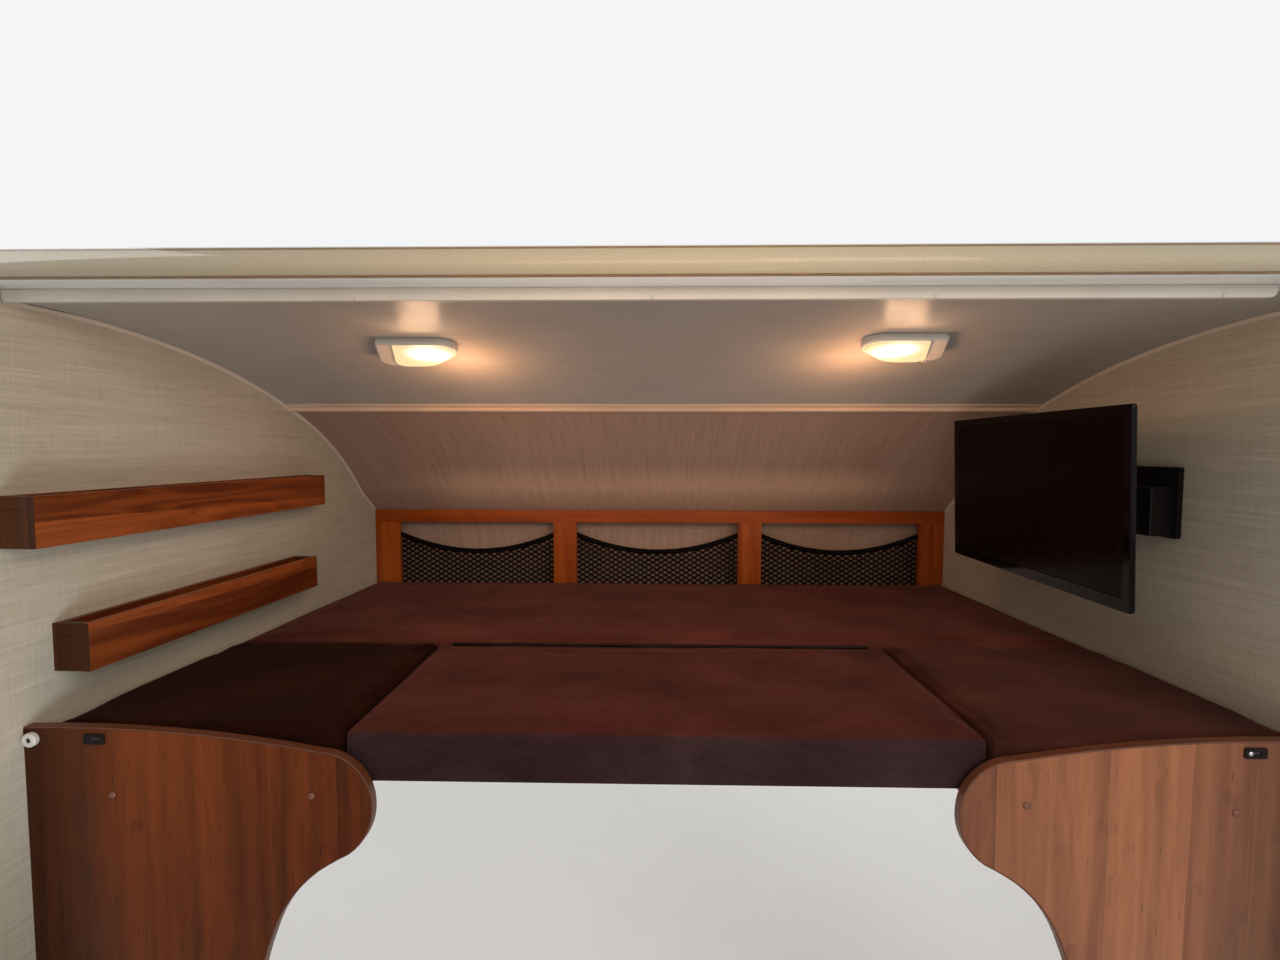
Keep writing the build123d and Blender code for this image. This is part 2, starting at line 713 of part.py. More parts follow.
os.makedirs("parts", exist_ok=True)
groups = (
    shell_parts(),
    moulding_parts(),
    marker_parts(),
    berth_parts(),
    hinge_parts(),
    partition_parts(),
    pocket_parts(),
    {
        "shelf_upper": trough_shelf(upper_shelf_y, upper_shelf_length, upper_shelf_up),
        "shelf_lower": trough_shelf(lower_shelf_y, lower_shelf_length, lower_shelf_up),
    },
    lamp_parts(),
    tv_parts(),
)
for group in groups:
    for name, shape in group.items():
        export_step(shape, f"parts/{name}.step")
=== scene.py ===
import bmesh
import bpy
import json
from functools import partial
from itertools import product
from math import asin, cos, pi, radians, sin, tan
from mathutils import Matrix, Vector, noise

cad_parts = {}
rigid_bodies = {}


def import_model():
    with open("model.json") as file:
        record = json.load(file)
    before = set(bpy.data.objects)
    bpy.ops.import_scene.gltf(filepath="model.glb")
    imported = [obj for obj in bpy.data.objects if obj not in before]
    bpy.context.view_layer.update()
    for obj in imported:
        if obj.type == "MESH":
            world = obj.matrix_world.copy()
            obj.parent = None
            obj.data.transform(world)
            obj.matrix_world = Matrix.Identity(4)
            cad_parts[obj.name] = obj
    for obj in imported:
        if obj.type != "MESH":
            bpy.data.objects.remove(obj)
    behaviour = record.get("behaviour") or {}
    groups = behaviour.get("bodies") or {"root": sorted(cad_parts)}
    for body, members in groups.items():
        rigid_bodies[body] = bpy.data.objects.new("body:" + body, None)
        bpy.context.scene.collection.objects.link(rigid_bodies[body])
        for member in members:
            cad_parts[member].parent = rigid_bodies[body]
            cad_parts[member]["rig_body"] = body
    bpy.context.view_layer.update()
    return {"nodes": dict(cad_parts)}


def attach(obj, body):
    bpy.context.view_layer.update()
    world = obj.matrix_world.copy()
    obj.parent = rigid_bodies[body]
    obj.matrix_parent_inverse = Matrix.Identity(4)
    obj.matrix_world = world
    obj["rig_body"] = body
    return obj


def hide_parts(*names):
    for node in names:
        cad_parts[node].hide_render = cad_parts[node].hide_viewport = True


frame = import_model()
cad = frame["nodes"]

# Sizes in metres. A height with _up in its name is measured from the cushion tops.
BED = -0.815
HALF = 1.160
WALL_TURN = radians(2.5)
TAPER = tan(WALL_TURN)
PARTITION_Y = 0.060
RAIL_Y = 1.292
RAIL_THICKNESS = 0.018
BOARD = 0.004
CEILING = [(0.066, 0.776), (0.814, 0.638), 0.042]
FRONT = [(0.814, 0.638), (1.200, 0.357), 0.032]
NOSE = [(1.306, 0.272), (1.386, 0.070), 0.025]
FOOT_UP = -0.099
FLOOR = -2.106


def wall_x(y):
    """Half the width between the side walls."""
    return HALF - (y - PARTITION_Y) * TAPER


def bowed(start, end, rise, steps):
    """Points along an arc in side view that bows outwards by rise."""
    a, b = Vector(start), Vector(end)
    along = (b - a).normalized()
    out = Vector((-along.y, along.x))
    half = (b - a).length / 2
    radius = (half * half + rise * rise) / (2 * rise)
    centre = (a + b) / 2 + out * (rise - radius)
    reach = asin(half / radius)
    angles = [reach * (2 * i / steps - 1) for i in range(steps + 1)]
    return [centre + radius * (cos(t) * out + sin(t) * along) for t in angles]


def add_node(tree, kind, feeds=None, **settings):
    """Adds a node to a tree. feeds holds a value or a link for each input, by name or number."""
    node = tree.nodes.new(kind)
    for key, value in settings.items():
        setattr(node, key, value)
    for socket, value in (feeds or {}).items():
        if isinstance(value, bpy.types.NodeSocket):
            tree.links.new(value, node.inputs[socket])
        else:
            node.inputs[socket].default_value = value
    return node


finishes = {}


class Finish:
    """A material in the making: its shader and the textures that feed it."""

    def __init__(self, name, colour, roughness, **shader):
        finishes[name] = bpy.data.materials.new(name)
        finishes[name].use_nodes = True
        self.tree = finishes[name].node_tree
        self.shader = self.tree.nodes["Principled BSDF"]
        self.shader.inputs["Base Color"].default_value = (*colour, 1)
        self.shader.inputs["Roughness"].default_value = roughness
        for socket, value in shader.items():
            self.shader.inputs[socket.replace("_", " ")].default_value = value
        self.normal = None

    def add(self, kind, feeds=None, **settings):
        return add_node(self.tree, "ShaderNode" + kind, feeds, **settings)

    def object_place(self):
        return self.add("TexCoord").outputs["Object"]

    def surface_place(self):
        return self.add("UVMap", uv_map="surface").outputs["UV"]

    def scaled(self, place, scale, shift=(0, 0, 0)):
        return self.add("Mapping", {"Vector": place, "Scale": scale, "Location": shift}).outputs["Vector"]

    def noise(self, place, scale, detail=3.0, rough=0.5, warp=0.0):
        feeds = {"Vector": self.scaled(place, scale), "Scale": 1.0, "Detail": detail, "Roughness": rough,
                 "Distortion": warp}
        return self.add("TexNoise", feeds).outputs["Fac"]

    def sums(self, operation, first, second=0.5, third=0.5):
        return self.add("Math", {0: first, 1: second, 2: third}, operation=operation).outputs[0]

    def spread(self, value, low, high, to_low=0.0, to_high=1.0):
        feeds = {"Value": value, "From Min": low, "From Max": high, "To Min": to_low, "To Max": to_high}
        return self.add("MapRange", feeds, clamp=True).outputs["Result"]

    def mix(self, share, first, second, how="MIX"):
        feeds = {0: share}
        for index, value in ((6, first), (7, second)):
            feeds[index] = value if isinstance(value, bpy.types.NodeSocket) else (*value, 1)
        return self.add("Mix", feeds, data_type="RGBA", blend_type=how).outputs[2]

    def shaded(self, colour, shade):
        """The colour times a grey value."""
        grey = self.add("CombineColor", {0: shade, 1: shade, 2: shade}).outputs[0]
        return self.mix(1.0, colour, grey, "MULTIPLY")

    def colour(self, source):
        self.tree.links.new(source, self.shader.inputs["Base Color"])

    def roughness(self, source):
        self.tree.links.new(source, self.shader.inputs["Roughness"])

    def bump(self, height, distance, strength=1.0):
        feeds = {"Height": height, "Distance": distance, "Strength": strength}
        if self.normal:
            feeds["Normal"] = self.normal
        self.normal = self.add("Bump", feeds).outputs["Normal"]
        self.tree.links.new(self.normal, self.shader.inputs["Normal"])


def linen(name, ground, dark, light, main, cross, on_surface=False):
    """Wall covering of uneven threads: slubs along the main way and finer threads across, with scales per metre.
    A covering laid on a board's surface is painted lighter past the bend where the board turns down: painted light in
    the pocket behind the rail, where shade falls."""
    f = Finish(name, ground, 0.74, Specular_IOR_Level=0.30)
    place = f.surface_place() if on_surface else f.object_place()
    slubs = f.noise(place, main, 4.0, 0.68)
    bands = f.noise(place, tuple(0.28 * m for m in main), 3.0, 0.6)
    threads = f.noise(place, cross, 2.0, 0.55)
    clouds = f.noise(place, (1.7, 1.7, 1.7), 2.0)
    tone = f.sums("MULTIPLY_ADD", slubs, 0.62, f.sums("MULTIPLY", bands, 0.38))
    tone = f.sums("MULTIPLY_ADD", threads, 0.20, f.sums("MULTIPLY", tone, 0.80))
    weave = f.mix(f.spread(tone, 0.33, 0.67), dark, light)
    shade = f.spread(clouds, 0.3, 0.7, 0.94, 1.04)
    # Painted light: past the bend the covering is made up to 1.28 times lighter, standing in for light in the pocket
    # behind the rail.
    if on_surface:
        travel = f.add("SeparateXYZ", {"Vector": place}).outputs["Y"]
        pocket_light_start, pocket_light_end = 0.605, 0.630
        shade = f.sums("MULTIPLY", shade, f.spread(travel, pocket_light_start, pocket_light_end, 1.0, 1.28))
    f.colour(f.shaded(weave, shade))
    height = f.sums("MULTIPLY_ADD", threads, 0.5, slubs)
    f.bump(height, 0.0008, 0.5)


def ceiling_vinyl(name):
    """Semi-gloss vinyl with a faint brushed pattern that runs across the vehicle."""
    f = Finish(name, (0.36, 0.34, 0.31), 0.34, Specular_IOR_Level=0.5)
    place = f.surface_place()
    brushed = f.noise(place, (6, 170, 1), 5.0, 0.66)
    clouds = f.noise(place, (5, 9, 1), 4.0, 0.6)
    specks = f.noise(place, (70, 240, 1), 2.0, 0.6)
    tone = f.mix(f.spread(brushed, 0.32, 0.68), (0.335, 0.314, 0.288), (0.407, 0.392, 0.368))
    tone = f.mix(f.spread(specks, 0.60, 0.78, 0.0, 0.35), tone, (0.456, 0.445, 0.421))
    shade = f.spread(clouds, 0.3, 0.7, 0.95, 1.04)
    f.colour(f.shaded(tone, shade))
    f.roughness(f.spread(brushed, 0.3, 0.7, 0.29, 0.42))
    f.bump(brushed, 0.0010, 0.6)


def cherry(name, along, dark, light, strips, gloss, figured=0.022, painted_wall_shade=None):
    """Cherry-patterned laminate: glued strips of slightly differing tone, soft streaks, a faint arched figure
    and a few short dark pores. Near a side wall its colour is multiplied by a given colour: painted shade that
    darkens the board towards the wall."""
    polish = 0.32
    f = Finish(name, light, polish, Specular_IOR_Level=gloss)
    place = f.object_place()
    axes = f.add("SeparateXYZ", {"Vector": place})
    first, second = {"X": ("Z", "Y"), "Y": ("Z", "X"), "Z": ("X", "Y")}[along]
    across = f.sums("MULTIPLY_ADD", axes.outputs[second], 0.6, axes.outputs[first])
    grain = f.add("CombineXYZ", {"X": across, "Y": axes.outputs[along]}).outputs["Vector"]
    drift = f.noise(grain, (5, 0.8, 1), 1.0, 0.4)
    wide = f.sums("MULTIPLY_ADD", drift, 0.16, f.sums("MULTIPLY", across, strips))
    cells = f.add("TexVoronoi", {"W": wide, "Scale": 1.0}, voronoi_dimensions="1D")
    edges = f.add("TexVoronoi", {"W": wide, "Scale": 1.0}, voronoi_dimensions="1D", feature="DISTANCE_TO_EDGE")
    strip = f.add("SeparateColor", {0: cells.outputs["Color"]})
    moved = f.sums("MULTIPLY", strip.outputs[1], 3.7)
    own = f.add("VectorMath", {0: grain, 1: f.add("CombineXYZ", {"Y": moved}).outputs[0]}, operation="ADD")
    streaks = f.noise(own.outputs[0], (24, 1.0, 1), 6.0, 0.64, 0.25)
    fine = f.noise(own.outputs[0], (330, 7, 1), 3.0, 0.6)
    field = f.noise(own.outputs[0], (9, 1.0, 1), 2.0, 0.45, 0.5)
    figure = f.sums("SINE", f.sums("MULTIPLY", field, 52.0))
    smudge = f.noise(own.outputs[0], (26, 9, 1), 3.0, 0.6, 0.8)
    pores = f.noise(own.outputs[0], (230, 19, 1), 2.0, 0.5)
    tone = f.sums("MULTIPLY_ADD", strip.outputs[0], 0.26, f.sums("MULTIPLY", streaks, 0.62))
    tone = f.sums("MULTIPLY_ADD", figure, figured, tone)
    tone = f.sums("MULTIPLY_ADD", fine, 0.08, tone)
    base = f.mix(f.spread(tone, 0.30, 0.70), dark, light)
    deep = tuple(0.45 * c for c in dark)
    base = f.mix(f.spread(smudge, 0.58, 0.74, 0.0, 0.50), base, dark)
    base = f.mix(f.spread(pores, 0.66, 0.74, 0.0, 0.60), base, deep)
    glue = tuple(1.25 * c for c in light)
    base = f.mix(f.spread(edges.outputs["Distance"], 0.004, 0.014, 0.26, 0.0), base, glue)
    # Painted shade: the board is darkened over its last stretch towards a side wall.
    if painted_wall_shade:
        aside = f.spread(f.sums("ABSOLUTE", axes.outputs["X"]), 0.93, 1.08)
        base = f.mix(aside, base, f.mix(1.0, base, painted_wall_shade, "MULTIPLY"))
    f.colour(base)
    f.roughness(f.spread(streaks, 0.3, 0.7, polish - 0.05, polish + 0.09))
    f.bump(fine, 0.0003, 0.3)


def suede(name, dark, light, sheen=0.10, front_y=0.0):
    """Brushed microsuede: cloudy nap with broad brushed arcs, soft sheen and a short pile. The cover on the
    cushion's front face, nearer than the given y, is painted darker and cooler: painted shade on the face turned away
    from the light."""
    f = Finish(name, light, 0.94, Sheen_Weight=sheen, Sheen_Roughness=0.45, Specular_IOR_Level=0.05)
    f.shader.inputs["Sheen Tint"].default_value = (0.80, 0.46, 0.36, 1)
    place = f.object_place()
    nap = f.noise(place, (3.4, 5.2, 5.0), 5.0, 0.60, 0.7)
    strokes = f.noise(place, (16, 46, 46), 5.0, 0.68, 0.4)
    fan = f.add("TexWave", {"Vector": f.scaled(place, (1, 1, 0), shift=(0.30, 0.42, 0)), "Scale": 1.25,
                            "Distortion": 2.6, "Detail": 2.0, "Detail Scale": 0.7},
                wave_type="RINGS", rings_direction="Z", wave_profile="SIN").outputs["Fac"]
    pile = f.noise(place, (700, 700, 700), 2.0, 0.6)
    tone = f.sums("MULTIPLY_ADD", strokes, 0.30, f.sums("MULTIPLY", nap, 0.78))
    tone = f.sums("MULTIPLY_ADD", fan, 0.10, tone)
    base = f.mix(f.spread(tone, 0.42, 0.76), dark, light)
    # Painted shade: the front face of the cover is darkened and cooled, as if turned away from the light.
    if front_y:
        forward = f.add("SeparateXYZ", {"Vector": place}).outputs["Y"]
        turned = f.mix(1.0, base, (0.48, 0.98, 1.55), "MULTIPLY")
        base = f.mix(f.spread(forward, front_y, front_y + 0.007, 1.0, 0.0), base, turned)
    f.colour(f.mix(f.spread(pile, 0.35, 0.65, 0.0, 0.42), base, tuple(0.5 * c for c in dark)))
    f.bump(pile, 0.0005, 0.5)
    f.bump(strokes, 0.0011, 0.3)


def moulded(name, colour, roughness, grain=260.0, depth=0.0002, speckle=0.06, **shader):
    """Moulded or coated surface: fine grain, slight mottling and uneven polish."""
    f = Finish(name, colour, roughness, **shader)
    place = f.object_place()
    mottle = f.noise(place, (6, 6, 6), 3.0)
    fine = f.noise(place, (grain, grain, grain), 2.0)
    darker = tuple(c * (1 - speckle) for c in colour)
    lighter = tuple(min(1.0, c * (1 + speckle)) for c in colour)
    f.colour(f.mix(f.spread(mottle, 0.32, 0.68), darker, lighter))
    f.roughness(f.spread(fine, 0.3, 0.7, max(0.02, roughness - 0.05), roughness + 0.07))
    f.bump(fine, depth, 0.4)


def brushed_metal(name, colour, roughness, along):
    """Metal drawn along one axis."""
    f = Finish(name, colour, roughness, Metallic=1.0)
    place = f.object_place()
    scale = {"X": (4, 900, 900), "Y": (900, 4, 900), "Z": (900, 900, 4)}[along]
    lines = f.noise(place, scale, 2.0)
    f.colour(f.mix(f.spread(lines, 0.3, 0.7), tuple(0.86 * c for c in colour), colour))
    f.roughness(f.spread(lines, 0.3, 0.7, roughness - 0.06, roughness + 0.1))
    f.bump(lines, 0.0002, 0.3)


def plywood(name):
    """Bare plywood: rotary-cut face grain that runs across the vehicle, with a few small dark streaks."""
    f = Finish(name, (0.50, 0.36, 0.21), 0.66)
    place = f.object_place()
    axes = f.add("SeparateXYZ", {"Vector": place})
    grain = f.add("CombineXYZ", {"X": axes.outputs["Y"], "Y": axes.outputs["X"], "Z": axes.outputs["Z"]})
    field = f.noise(grain.outputs["Vector"], (3.6, 0.7, 3.6), 2.0, 0.4, 1.2)
    rings = f.sums("PINGPONG", f.sums("MULTIPLY", field, 22.0), 0.5)
    streaks = f.noise(grain.outputs["Vector"], (240, 7, 400), 3.0, 0.6)
    base = f.mix(f.spread(rings, 0.0, 0.5), (0.40, 0.26, 0.135), (0.58, 0.43, 0.26))
    f.colour(f.mix(f.spread(streaks, 0.55, 0.72, 0.0, 0.6), base, (0.28, 0.165, 0.08)))
    f.bump(streaks, 0.0004, 0.5)


def lit_lens(name):
    """Frosted lens of a lit lamp: hottest under its bulb, with fine moulded prisms. The two lamps lie nearly
    alike on either side of middle_x, the right one a little nearer."""
    glass, groove = (0.34, 0.27, 0.19), (0.27, 0.20, 0.13)
    middle_x, bulb_aside, bulb_y, slant = -0.008, 0.529, 0.390, -0.021
    f = Finish(name, glass, 0.30, Specular_IOR_Level=0.3, Emission_Strength=5.0)
    place = f.object_place()
    axes = f.add("SeparateXYZ", {"Vector": place})
    side = f.sums("ABSOLUTE", f.sums("SUBTRACT", axes.outputs["X"], middle_x))
    beyond = f.sums("MULTIPLY", f.sums("SUBTRACT", side, bulb_aside), 0.8)
    forward = f.sums("SUBTRACT", axes.outputs["Y"], f.sums("MULTIPLY_ADD", axes.outputs["X"], slant, bulb_y))
    reach = f.sums("SQRT", f.sums("MULTIPLY_ADD", forward, forward, f.sums("MULTIPLY", beyond, beyond)))
    near = f.spread(reach, 0.004, 0.056, 1.0, 0.0)
    prisms = f.add("TexWave", {"Vector": place, "Scale": 75.0}, bands_direction="X").outputs["Fac"]
    rim = f.mix(f.spread(prisms, 0.2, 0.8), (0.176, 0.138, 0.078), (0.150, 0.108, 0.056))
    f.tree.links.new(f.mix(f.sums("MULTIPLY", near, near), rim, (1.0, 0.93, 0.78)), f.shader.inputs["Emission Color"])
    f.colour(f.mix(f.spread(prisms, 0.2, 0.8), glass, groove))
    f.bump(prisms, 0.0006, 0.4)


def sandwich(name, axis, inner, thickness):
    """Gelcoat panel that shows its layers where the section ends: ply, foam core, ply and the outer skin. Its
    inner face lies at inner along the axis."""
    ply_thickness, skin_thickness, end_depth = 0.005, 0.0015, 0.0006
    f = Finish(name, (0.80, 0.80, 0.78), 0.16, Coat_Weight=0.4, Coat_Roughness=0.06)
    place = f.object_place()
    axes = f.add("SeparateXYZ", {"Vector": place})
    depth = f.sums("SUBTRACT", f.sums("ABSOLUTE", axes.outputs[axis]) if axis == "X" else axes.outputs[axis], inner)
    cells = f.noise(place, (420, 420, 420), 3.0, 0.6)
    foam = f.mix(f.spread(cells, 0.35, 0.65), (0.44, 0.37, 0.25), (0.55, 0.47, 0.33))
    ply = f.mix(f.spread(f.noise(place, (30, 30, 900), 2.0), 0.35, 0.65), (0.20, 0.115, 0.055), (0.34, 0.21, 0.11))
    layer = f.mix(f.sums("GREATER_THAN", f.sums("ABSOLUTE", f.sums("SUBTRACT", depth, thickness / 2)),
                         thickness / 2 - ply_thickness), foam, ply)
    mottle = f.noise(place, (6, 6, 6), 3.0)
    skin = f.mix(f.spread(mottle, 0.32, 0.68), (0.784, 0.784, 0.764), (0.816, 0.816, 0.796))
    cut = f.sums("LESS_THAN", axes.outputs["Y"], end_depth)
    cut = f.sums("MULTIPLY", cut, f.sums("LESS_THAN", depth, thickness - skin_thickness))
    f.colour(f.mix(cut, skin, layer))
    f.roughness(f.spread(cut, 0.0, 1.0, 0.17, 0.85))
    f.bump(f.sums("MULTIPLY", cells, cut), 0.0006, 0.5)


# The finishes, each with its colours in linear light.
linen("wall linen", (0.44, 0.40, 0.32), (0.360, 0.325, 0.250), (0.530, 0.495, 0.405), (0, 7, 260), (0, 240, 9))
# The front covering gets painted light in the pocket behind the rail.
linen("front linen", (0.35, 0.235, 0.178), (0.280, 0.180, 0.135), (0.440, 0.305, 0.238), (260, 7, 1), (9, 240, 1),
      on_surface=True)
ceiling_vinyl("ceiling vinyl")
# Lit and shaded copies of one cherry for the two partitions: the left painted darker and duller, the right lighter and
# glossier, both with painted shade towards the walls.
cherry("cherry left", "Z", (0.055, 0.0130, 0.0036), (0.208, 0.0445, 0.0080), 7.5, 0.10, painted_wall_shade=(0.44, 0.50, 0.66))
cherry("cherry right", "Z", (0.115, 0.033, 0.0105), (0.400, 0.145, 0.0620), 7.5, 0.42, painted_wall_shade=(0.50, 0.46, 0.42))
cherry("cherry stile", "Z", (0.190, 0.034, 0.0048), (0.470, 0.108, 0.0140), 26.0, 0.14)
cherry("cherry across", "X", (0.140, 0.022, 0.0035), (0.350, 0.072, 0.0095), 14.0, 0.14)
cherry("cherry lengthwise", "Y", (0.098, 0.020, 0.0045), (0.300, 0.074, 0.0165), 14.0, 0.20, 0.070)
# A shaded copy of the lengthwise cherry for the trough end boards: painted shade.
cherry("cherry end", "Z", (0.040, 0.0110, 0.0028), (0.092, 0.0285, 0.0080), 14.0, 0.12)
# Lit and shaded copies of one suede: the nap lies a different way on each cushion, and the tones also carry painted
# light and shade. The forward cushion is painted lighter, the right darker and the left much darker for the shade of
# the wall and shelves.
suede("suede", (0.047, 0.0118, 0.0085), (0.112, 0.0300, 0.0215), front_y=0.088)
suede("suede brushed up", (0.068, 0.0180, 0.0130), (0.158, 0.0440, 0.0320))
suede("suede brushed dark", (0.0115, 0.0024, 0.0012), (0.030, 0.0066, 0.0030), 0.04)
suede("suede brushed down", (0.034, 0.0098, 0.0068), (0.088, 0.0255, 0.0170))
sandwich("roof panel", "Z", -0.025, 0.050)
sandwich("wall panel", "X", HALF, 0.038)
moulded("gelcoat", (0.80, 0.80, 0.78), 0.16, 34.0, 0.0005, 0.02, Coat_Weight=0.4, Coat_Roughness=0.06)
moulded("off-white plastic", (0.60, 0.56, 0.49), 0.38)
moulded("white plastic", (0.62, 0.59, 0.54), 0.34)
moulded("beige plastic", (0.70, 0.53, 0.39), 0.42)
moulded("brown edging", (0.118, 0.038, 0.017), 0.40, 500.0, 0.0002, 0.12, Specular_IOR_Level=0.35)
moulded("cap plastic", (0.165, 0.060, 0.030), 0.22, 500.0, 0.0001, 0.1)
moulded("black steel", (0.0060, 0.0048, 0.0046), 0.46, 900.0, 0.0002, 0.2, Specular_IOR_Level=0.20)
moulded("brown steel", (0.0080, 0.0042, 0.0036), 0.60, 900.0, 0.0002, 0.2, Specular_IOR_Level=0.15)
moulded("black rubber", (0.011, 0.011, 0.011), 0.68, 700.0, 0.0003, 0.2)
moulded("black gloss", (0.0030, 0.0018, 0.0018), 0.10, 40.0, 0.00004, 0.1, Specular_IOR_Level=0.10)
moulded("screen glass", (0.0036, 0.0010, 0.0010), 0.22, 60.0, 0.00003, 0.25, Specular_IOR_Level=0.05)
moulded("net cord", (0.0036, 0.0025, 0.0022), 0.80, 1400.0, 0.0003, 0.3, Specular_IOR_Level=0.10)
moulded("amber lens", (0.82, 0.26, 0.015), 0.12, 60.0, 0.0002, 0.08, Coat_Weight=0.5)
brushed_metal("drawn aluminium", (0.78, 0.79, 0.80), 0.32, "Y")
brushed_metal("bronzed steel", (0.026, 0.018, 0.015), 0.56, "X")
brushed_metal("bright steel", (0.70, 0.70, 0.69), 0.22, "Z")
plywood("plywood")
lit_lens("lit lens")


def linked(name, data):
    """A new object in the scene."""
    thing = bpy.data.objects.new(name, data)
    bpy.context.scene.collection.objects.link(thing)
    return thing


def painted(finish, *nodes):
    """Gives a finish to CAD pieces that keep their own shape."""
    for node in nodes:
        cad[node].data.materials.clear()
        cad[node].data.materials.append(finishes[finish])


def settle(piece, finish, body, stands_for=()):
    """Gives a finished piece its material, the body that it rides on and the nodes that it stands for."""
    piece.data.materials.clear()
    piece.data.materials.append(finishes[finish])
    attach(piece, body)
    if stands_for:
        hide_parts(*stands_for)
    return piece


def soften(piece, width, segments=2, angle=30.0):
    """Rounds the edges of a hard piece and evens its shading."""
    for face in piece.data.polygons:
        face.use_smooth = True
    if width:
        bevel = piece.modifiers.new("edges", "BEVEL")
        bevel.width = width
        bevel.segments = segments
        bevel.limit_method = "ANGLE"
        bevel.angle_limit = radians(angle)
    even = piece.modifiers.new("shading", "WEIGHTED_NORMAL")
    even.keep_sharp = True
    return piece


def new_piece(name, points, faces):
    """A plain mesh object."""
    mesh = bpy.data.meshes.new(name)
    mesh.from_pydata([tuple(p) for p in points], [], faces)
    mesh.update()
    return linked(name, mesh)


def dressed(node, finish, edge=0.0008, segments=2, angle=30.0):
    """A merged copy of a CAD node with softened edges, which stands for the node."""
    shape = bmesh.new()
    shape.from_mesh(cad[node].data)
    bmesh.ops.remove_doubles(shape, verts=shape.verts, dist=2e-6)
    bmesh.ops.dissolve_limit(shape, angle_limit=radians(0.6), verts=shape.verts, edges=shape.edges)
    mesh = bpy.data.meshes.new(node + "_dressed")
    shape.to_mesh(mesh)
    shape.free()
    piece = soften(linked(mesh.name, mesh), edge, segments, angle)
    return settle(piece, finish, cad[node]["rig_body"], [node])


def boxes_piece(name, boxes, turn=Matrix.Identity(4)):
    """One mesh of boxes, each given by two opposite corners."""
    sides = ((0, 1, 3, 2), (4, 6, 7, 5), (0, 4, 5, 1), (2, 3, 7, 6), (0, 2, 6, 4), (1, 5, 7, 3))
    points = [turn @ Vector(corner) for low, high in boxes for corner in product(*zip(low, high))]
    faces = [tuple(8 * k + i for i in side) for k in range(len(boxes)) for side in sides]
    return new_piece(name, points, faces)


def boards(name, boxes, finish, stands_for=(), edge=0.0008, turn=Matrix.Identity(4)):
    """Boards of the shell as one piece with softened edges."""
    return settle(soften(boxes_piece(name, boxes, turn), edge), finish, "shell", stands_for)


def lined_sheet(name, line, thickness, finish, stands_for):
    """A board bent along a line in side view, just into the tapered walls, with its surface laid out flat."""
    points, flat, travel = [], [], 0.0
    for i, p in enumerate(line):
        if i:
            travel += (p - line[i - 1]).length
        half = wall_x(p.x) + 0.004
        for side, lift in ((-1, 0), (1, 0), (1, thickness), (-1, thickness)):
            points.append((side * half, p.x + lift, BED + p.y + lift))
            flat.append((side * half, travel))
    faces = [(0, 3, 2, 1)]
    for i in range(len(line) - 1):
        a, b = 4 * i, 4 * i + 4
        for j in range(4):
            k = (j + 1) % 4
            faces.append((a + j, a + k, b + k, b + j))
    last = 4 * (len(line) - 1)
    faces.append((last, last + 1, last + 2, last + 3))
    piece = new_piece(name, points, faces)
    shape = bmesh.new()
    shape.from_mesh(piece.data)
    bmesh.ops.recalc_face_normals(shape, faces=shape.faces)
    shape.to_mesh(piece.data)
    shape.free()
    layer = piece.data.uv_layers.new(name="surface")
    for corner in piece.data.loops:
        layer.data[corner.index].uv = flat[corner.vertex_index]
    for face in piece.data.polygons:
        face.use_smooth = len(face.vertices) == 4 and abs(face.normal.x) < 0.5
    piece.data.set_sharp_from_angle(angle=radians(30))
    return settle(piece, finish, "shell", stands_for)


# The shell: what keeps its CAD shape gets a finish; curved or visible boards are rebuilt smooth.
painted("wall linen", "side_liner_left", "side_liner_right")
for node in ("side_wall_left", "side_wall_right"):
    dressed(node, "wall panel", 0.0)
dressed("roof_panel", "roof panel", 0.0, angle=25)
dressed("nose_panel", "gelcoat", 0.0, angle=25)
dressed("belly_panel", "gelcoat", 0.0)
lined_sheet("ceiling_board", bowed(*CEILING, 40), BOARD, "ceiling vinyl", ["ceiling_liner"])
front_line = bowed(*FRONT, 24) + bowed(*NOSE, 12) + [Vector((1.386, FOOT_UP))]
lined_sheet("front_board", front_line, BOARD, "front linen", ["front_liner"])

dressed("ceiling_strip", "off-white plastic", 0.0018, 3)
dressed("front_trim", "beige plastic", 0.0025, 3)
dressed("side_trims", "off-white plastic", 0.0010)
trim_turn = Matrix.Translation((0, FRONT[0][0], BED + FRONT[0][1])) @ Matrix.Rotation(radians(-22), 4, "X")
trim_half = wall_x(FRONT[0][0]) - 0.004
boards("front_trim_flange", [((-trim_half, -0.030, -0.0026), (trim_half, -0.0075, 0.0004)),
                             ((-trim_half, 0.0065, -0.0026), (trim_half, 0.0150, 0.0010))],
       "beige plastic", edge=0.0009, turn=trim_turn)
painted("bronzed steel", "hinge_fixed_leaf", "hinge_moving_leaf", "hinge_pin")
painted("bright steel", "tv_swivel_pin", "tv_tilt_pin")
for node, *look in (
        ("corner_mouldings", "drawn aluminium", 0.0006), ("clearance_lamps", "white plastic", 0.0008),
        ("clearance_lenses", "amber lens", 0.0004),
        ("forward_deck", "plywood"), ("wing_decks", "plywood"), ("support_ledges", "plywood"),
        ("centre_board", "plywood"),
        # The partitions take the lit and the shaded copy of the cherry: painted light and shade.
        ("partition_left", "cherry left", 0.0), ("partition_right", "cherry right", 0.0),
        ("edge_bands", "brown edging", 0.0012, 3), ("catch_plates", "brown steel", 0.0005),
        ("stop_button", "white plastic", 0.0006),
        ("lamp_housings", "white plastic", 0.0012), ("lamp_lenses", "lit lens", 0.0010),
        ("tv_wall_box", "black steel", 0.0010), ("tv_arm", "black steel", 0.0006),
        ("tv_head", "black steel", 0.0006), ("tv_case", "black gloss", 0.0022, 3),
        ("tv_screen", "screen glass", 0.0003)):
    dressed(node, *look)


